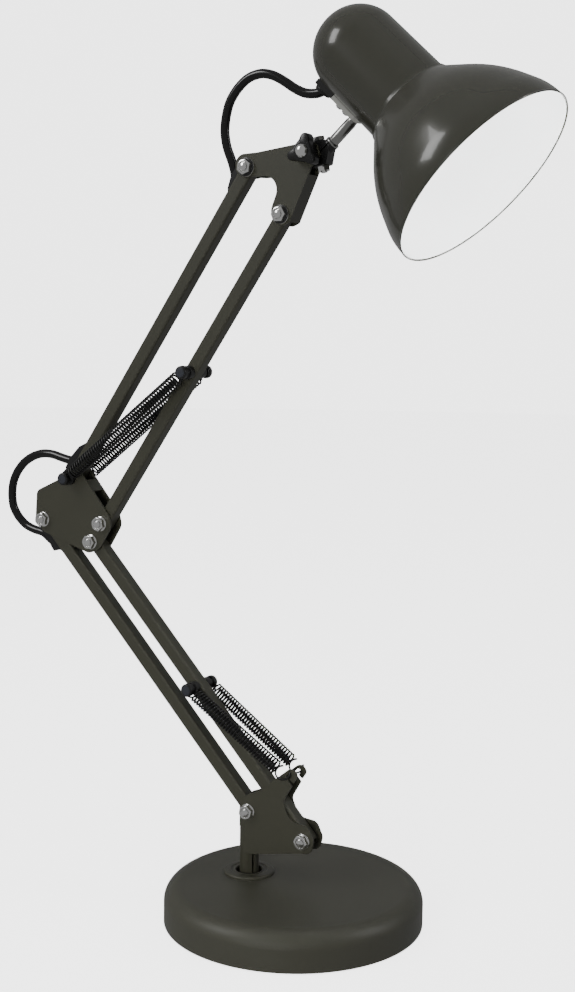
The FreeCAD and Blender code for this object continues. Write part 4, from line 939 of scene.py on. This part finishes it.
floor_corners = [(-REACH, -REACH, 0), (REACH, -REACH, 0), (REACH, REACH, 0), (-REACH, REACH, 0)]
floor_mesh = bpy.data.meshes.new("floor")
floor_mesh.from_pydata(floor_corners, [], [(0, 1, 2, 3)])
floor = bpy.data.objects.new("floor", floor_mesh)
bpy.context.scene.collection.objects.link(floor)
floor.data.materials.append(glowing("floor", (0.85, 0.85, 0.85), 0.9, FLOOR_GLOW))
floor.visible_glossy = False
floor.visible_diffuse = False

# a pale surround that the camera sees but that neither lights the lamp nor shows in it
surround_mesh = bpy.data.meshes.new("surround")
bm = bmesh.new()
bmesh.ops.create_uvsphere(bm, u_segments=48, v_segments=24, radius=REACH * 0.98)
bm.to_mesh(surround_mesh)
bm.free()
surround = bpy.data.objects.new("surround", surround_mesh)
bpy.context.scene.collection.objects.link(surround)
surround.data.materials.append(glowing("surround", (0.0, 0.0, 0.0), 1.0, SURROUND_GLOW))
surround.visible_diffuse = False
surround.visible_glossy = False
surround.visible_transmission = False
surround.visible_shadow = False

world = bpy.data.worlds.new("studio")
world.use_nodes = True
world.node_tree.nodes["Background"].inputs["Color"].default_value = (1, 1, 1, 1)
world.node_tree.nodes["Background"].inputs["Strength"].default_value = WORLD_GLOW
bpy.context.scene.world = world

# the camera's place is in metres; the focal length is in pixels of a picture IMAGE_HEIGHT pixels high
CAMERA_TURN = math.radians(29.984)
CAMERA_PITCH = math.radians(6.67)
CAMERA_ROLL = math.radians(0.745)
CAMERA_PAN = math.radians(0.452)
CAMERA_AWAY, CAMERA_HEIGHT = 0.923044, 0.388374
FOCAL_PIXELS, IMAGE_HEIGHT = 1459.15, 992
SENSOR_HEIGHT = 24.0

eye = Vector((CAMERA_AWAY * math.sin(CAMERA_TURN), -CAMERA_AWAY * math.cos(CAMERA_TURN), CAMERA_HEIGHT))
heading = CAMERA_TURN + CAMERA_PAN
level = math.cos(CAMERA_PITCH)
forward = Vector((-math.sin(heading) * level, math.cos(heading) * level, -math.sin(CAMERA_PITCH)))
right = Vector((math.cos(heading), math.sin(heading), 0))
up = right.cross(forward)
camera_x = right * math.cos(CAMERA_ROLL) + up * math.sin(CAMERA_ROLL)
camera_y = up * math.cos(CAMERA_ROLL) - right * math.sin(CAMERA_ROLL)
camera_data = bpy.data.cameras.new("camera")
camera_data.sensor_fit = "VERTICAL"
camera_data.sensor_height = SENSOR_HEIGHT
camera_data.lens = SENSOR_HEIGHT * FOCAL_PIXELS / IMAGE_HEIGHT
camera_data.clip_start = 0.01
camera = bpy.data.objects.new("camera", camera_data)
camera.matrix_world = Matrix(
    (
        (camera_x.x, camera_y.x, -forward.x, eye.x),
        (camera_x.y, camera_y.y, -forward.y, eye.y),
        (camera_x.z, camera_y.z, -forward.z, eye.z),
        (0, 0, 0, 1),
    )
)
bpy.context.scene.collection.objects.link(camera)
bpy.context.scene.camera = camera


def softbox(name, place, target, width, height, watts, mirrored=True, spread=180.0):
    """A rectangular light at place, facing target. Unless mirrored, it doesn't show in the lamp's finish."""
    data = bpy.data.lights.new(name, "AREA")
    data.shape = "RECTANGLE"
    data.size, data.size_y = width, height
    data.energy = watts
    data.spread = math.radians(spread)
    lamp = bpy.data.objects.new(name, data)
    away = Vector(place) - Vector(target)
    lamp.matrix_world = Matrix.Translation(place) @ away.to_track_quat("Z", "Y").to_matrix().to_4x4()
    lamp.visible_glossy = mirrored
    lamp.visible_camera = False
    bpy.context.scene.collection.objects.link(lamp)


CENTRE = (-0.02, 0.0, 0.3)
IN_FRONT_OF_RIM = SHADE @ Vector((0, 0, -25)) * MM
INSIDE_SHADE = SHADE @ Vector((0, 0, 60)) * MM
softbox("key box", (-1.2, -1.3, 1.5), CENTRE, 0.6, 1.0, 13)
softbox("low box", (0.2, -1.5, 0.35), (0.0, 0.0, 0.1), 0.5, 0.5, 2.4, mirrored=False, spread=60.0)
softbox("rim box", (1.6, 0.5, 1.3), CENTRE, 0.3, 1.2, 8)
softbox("top box", (0.1, -0.2, 1.9), CENTRE, 1.2, 0.9, 10, mirrored=False)
softbox("shade box", IN_FRONT_OF_RIM, INSIDE_SHADE, 0.08, 0.08, 0.26, mirrored=False)
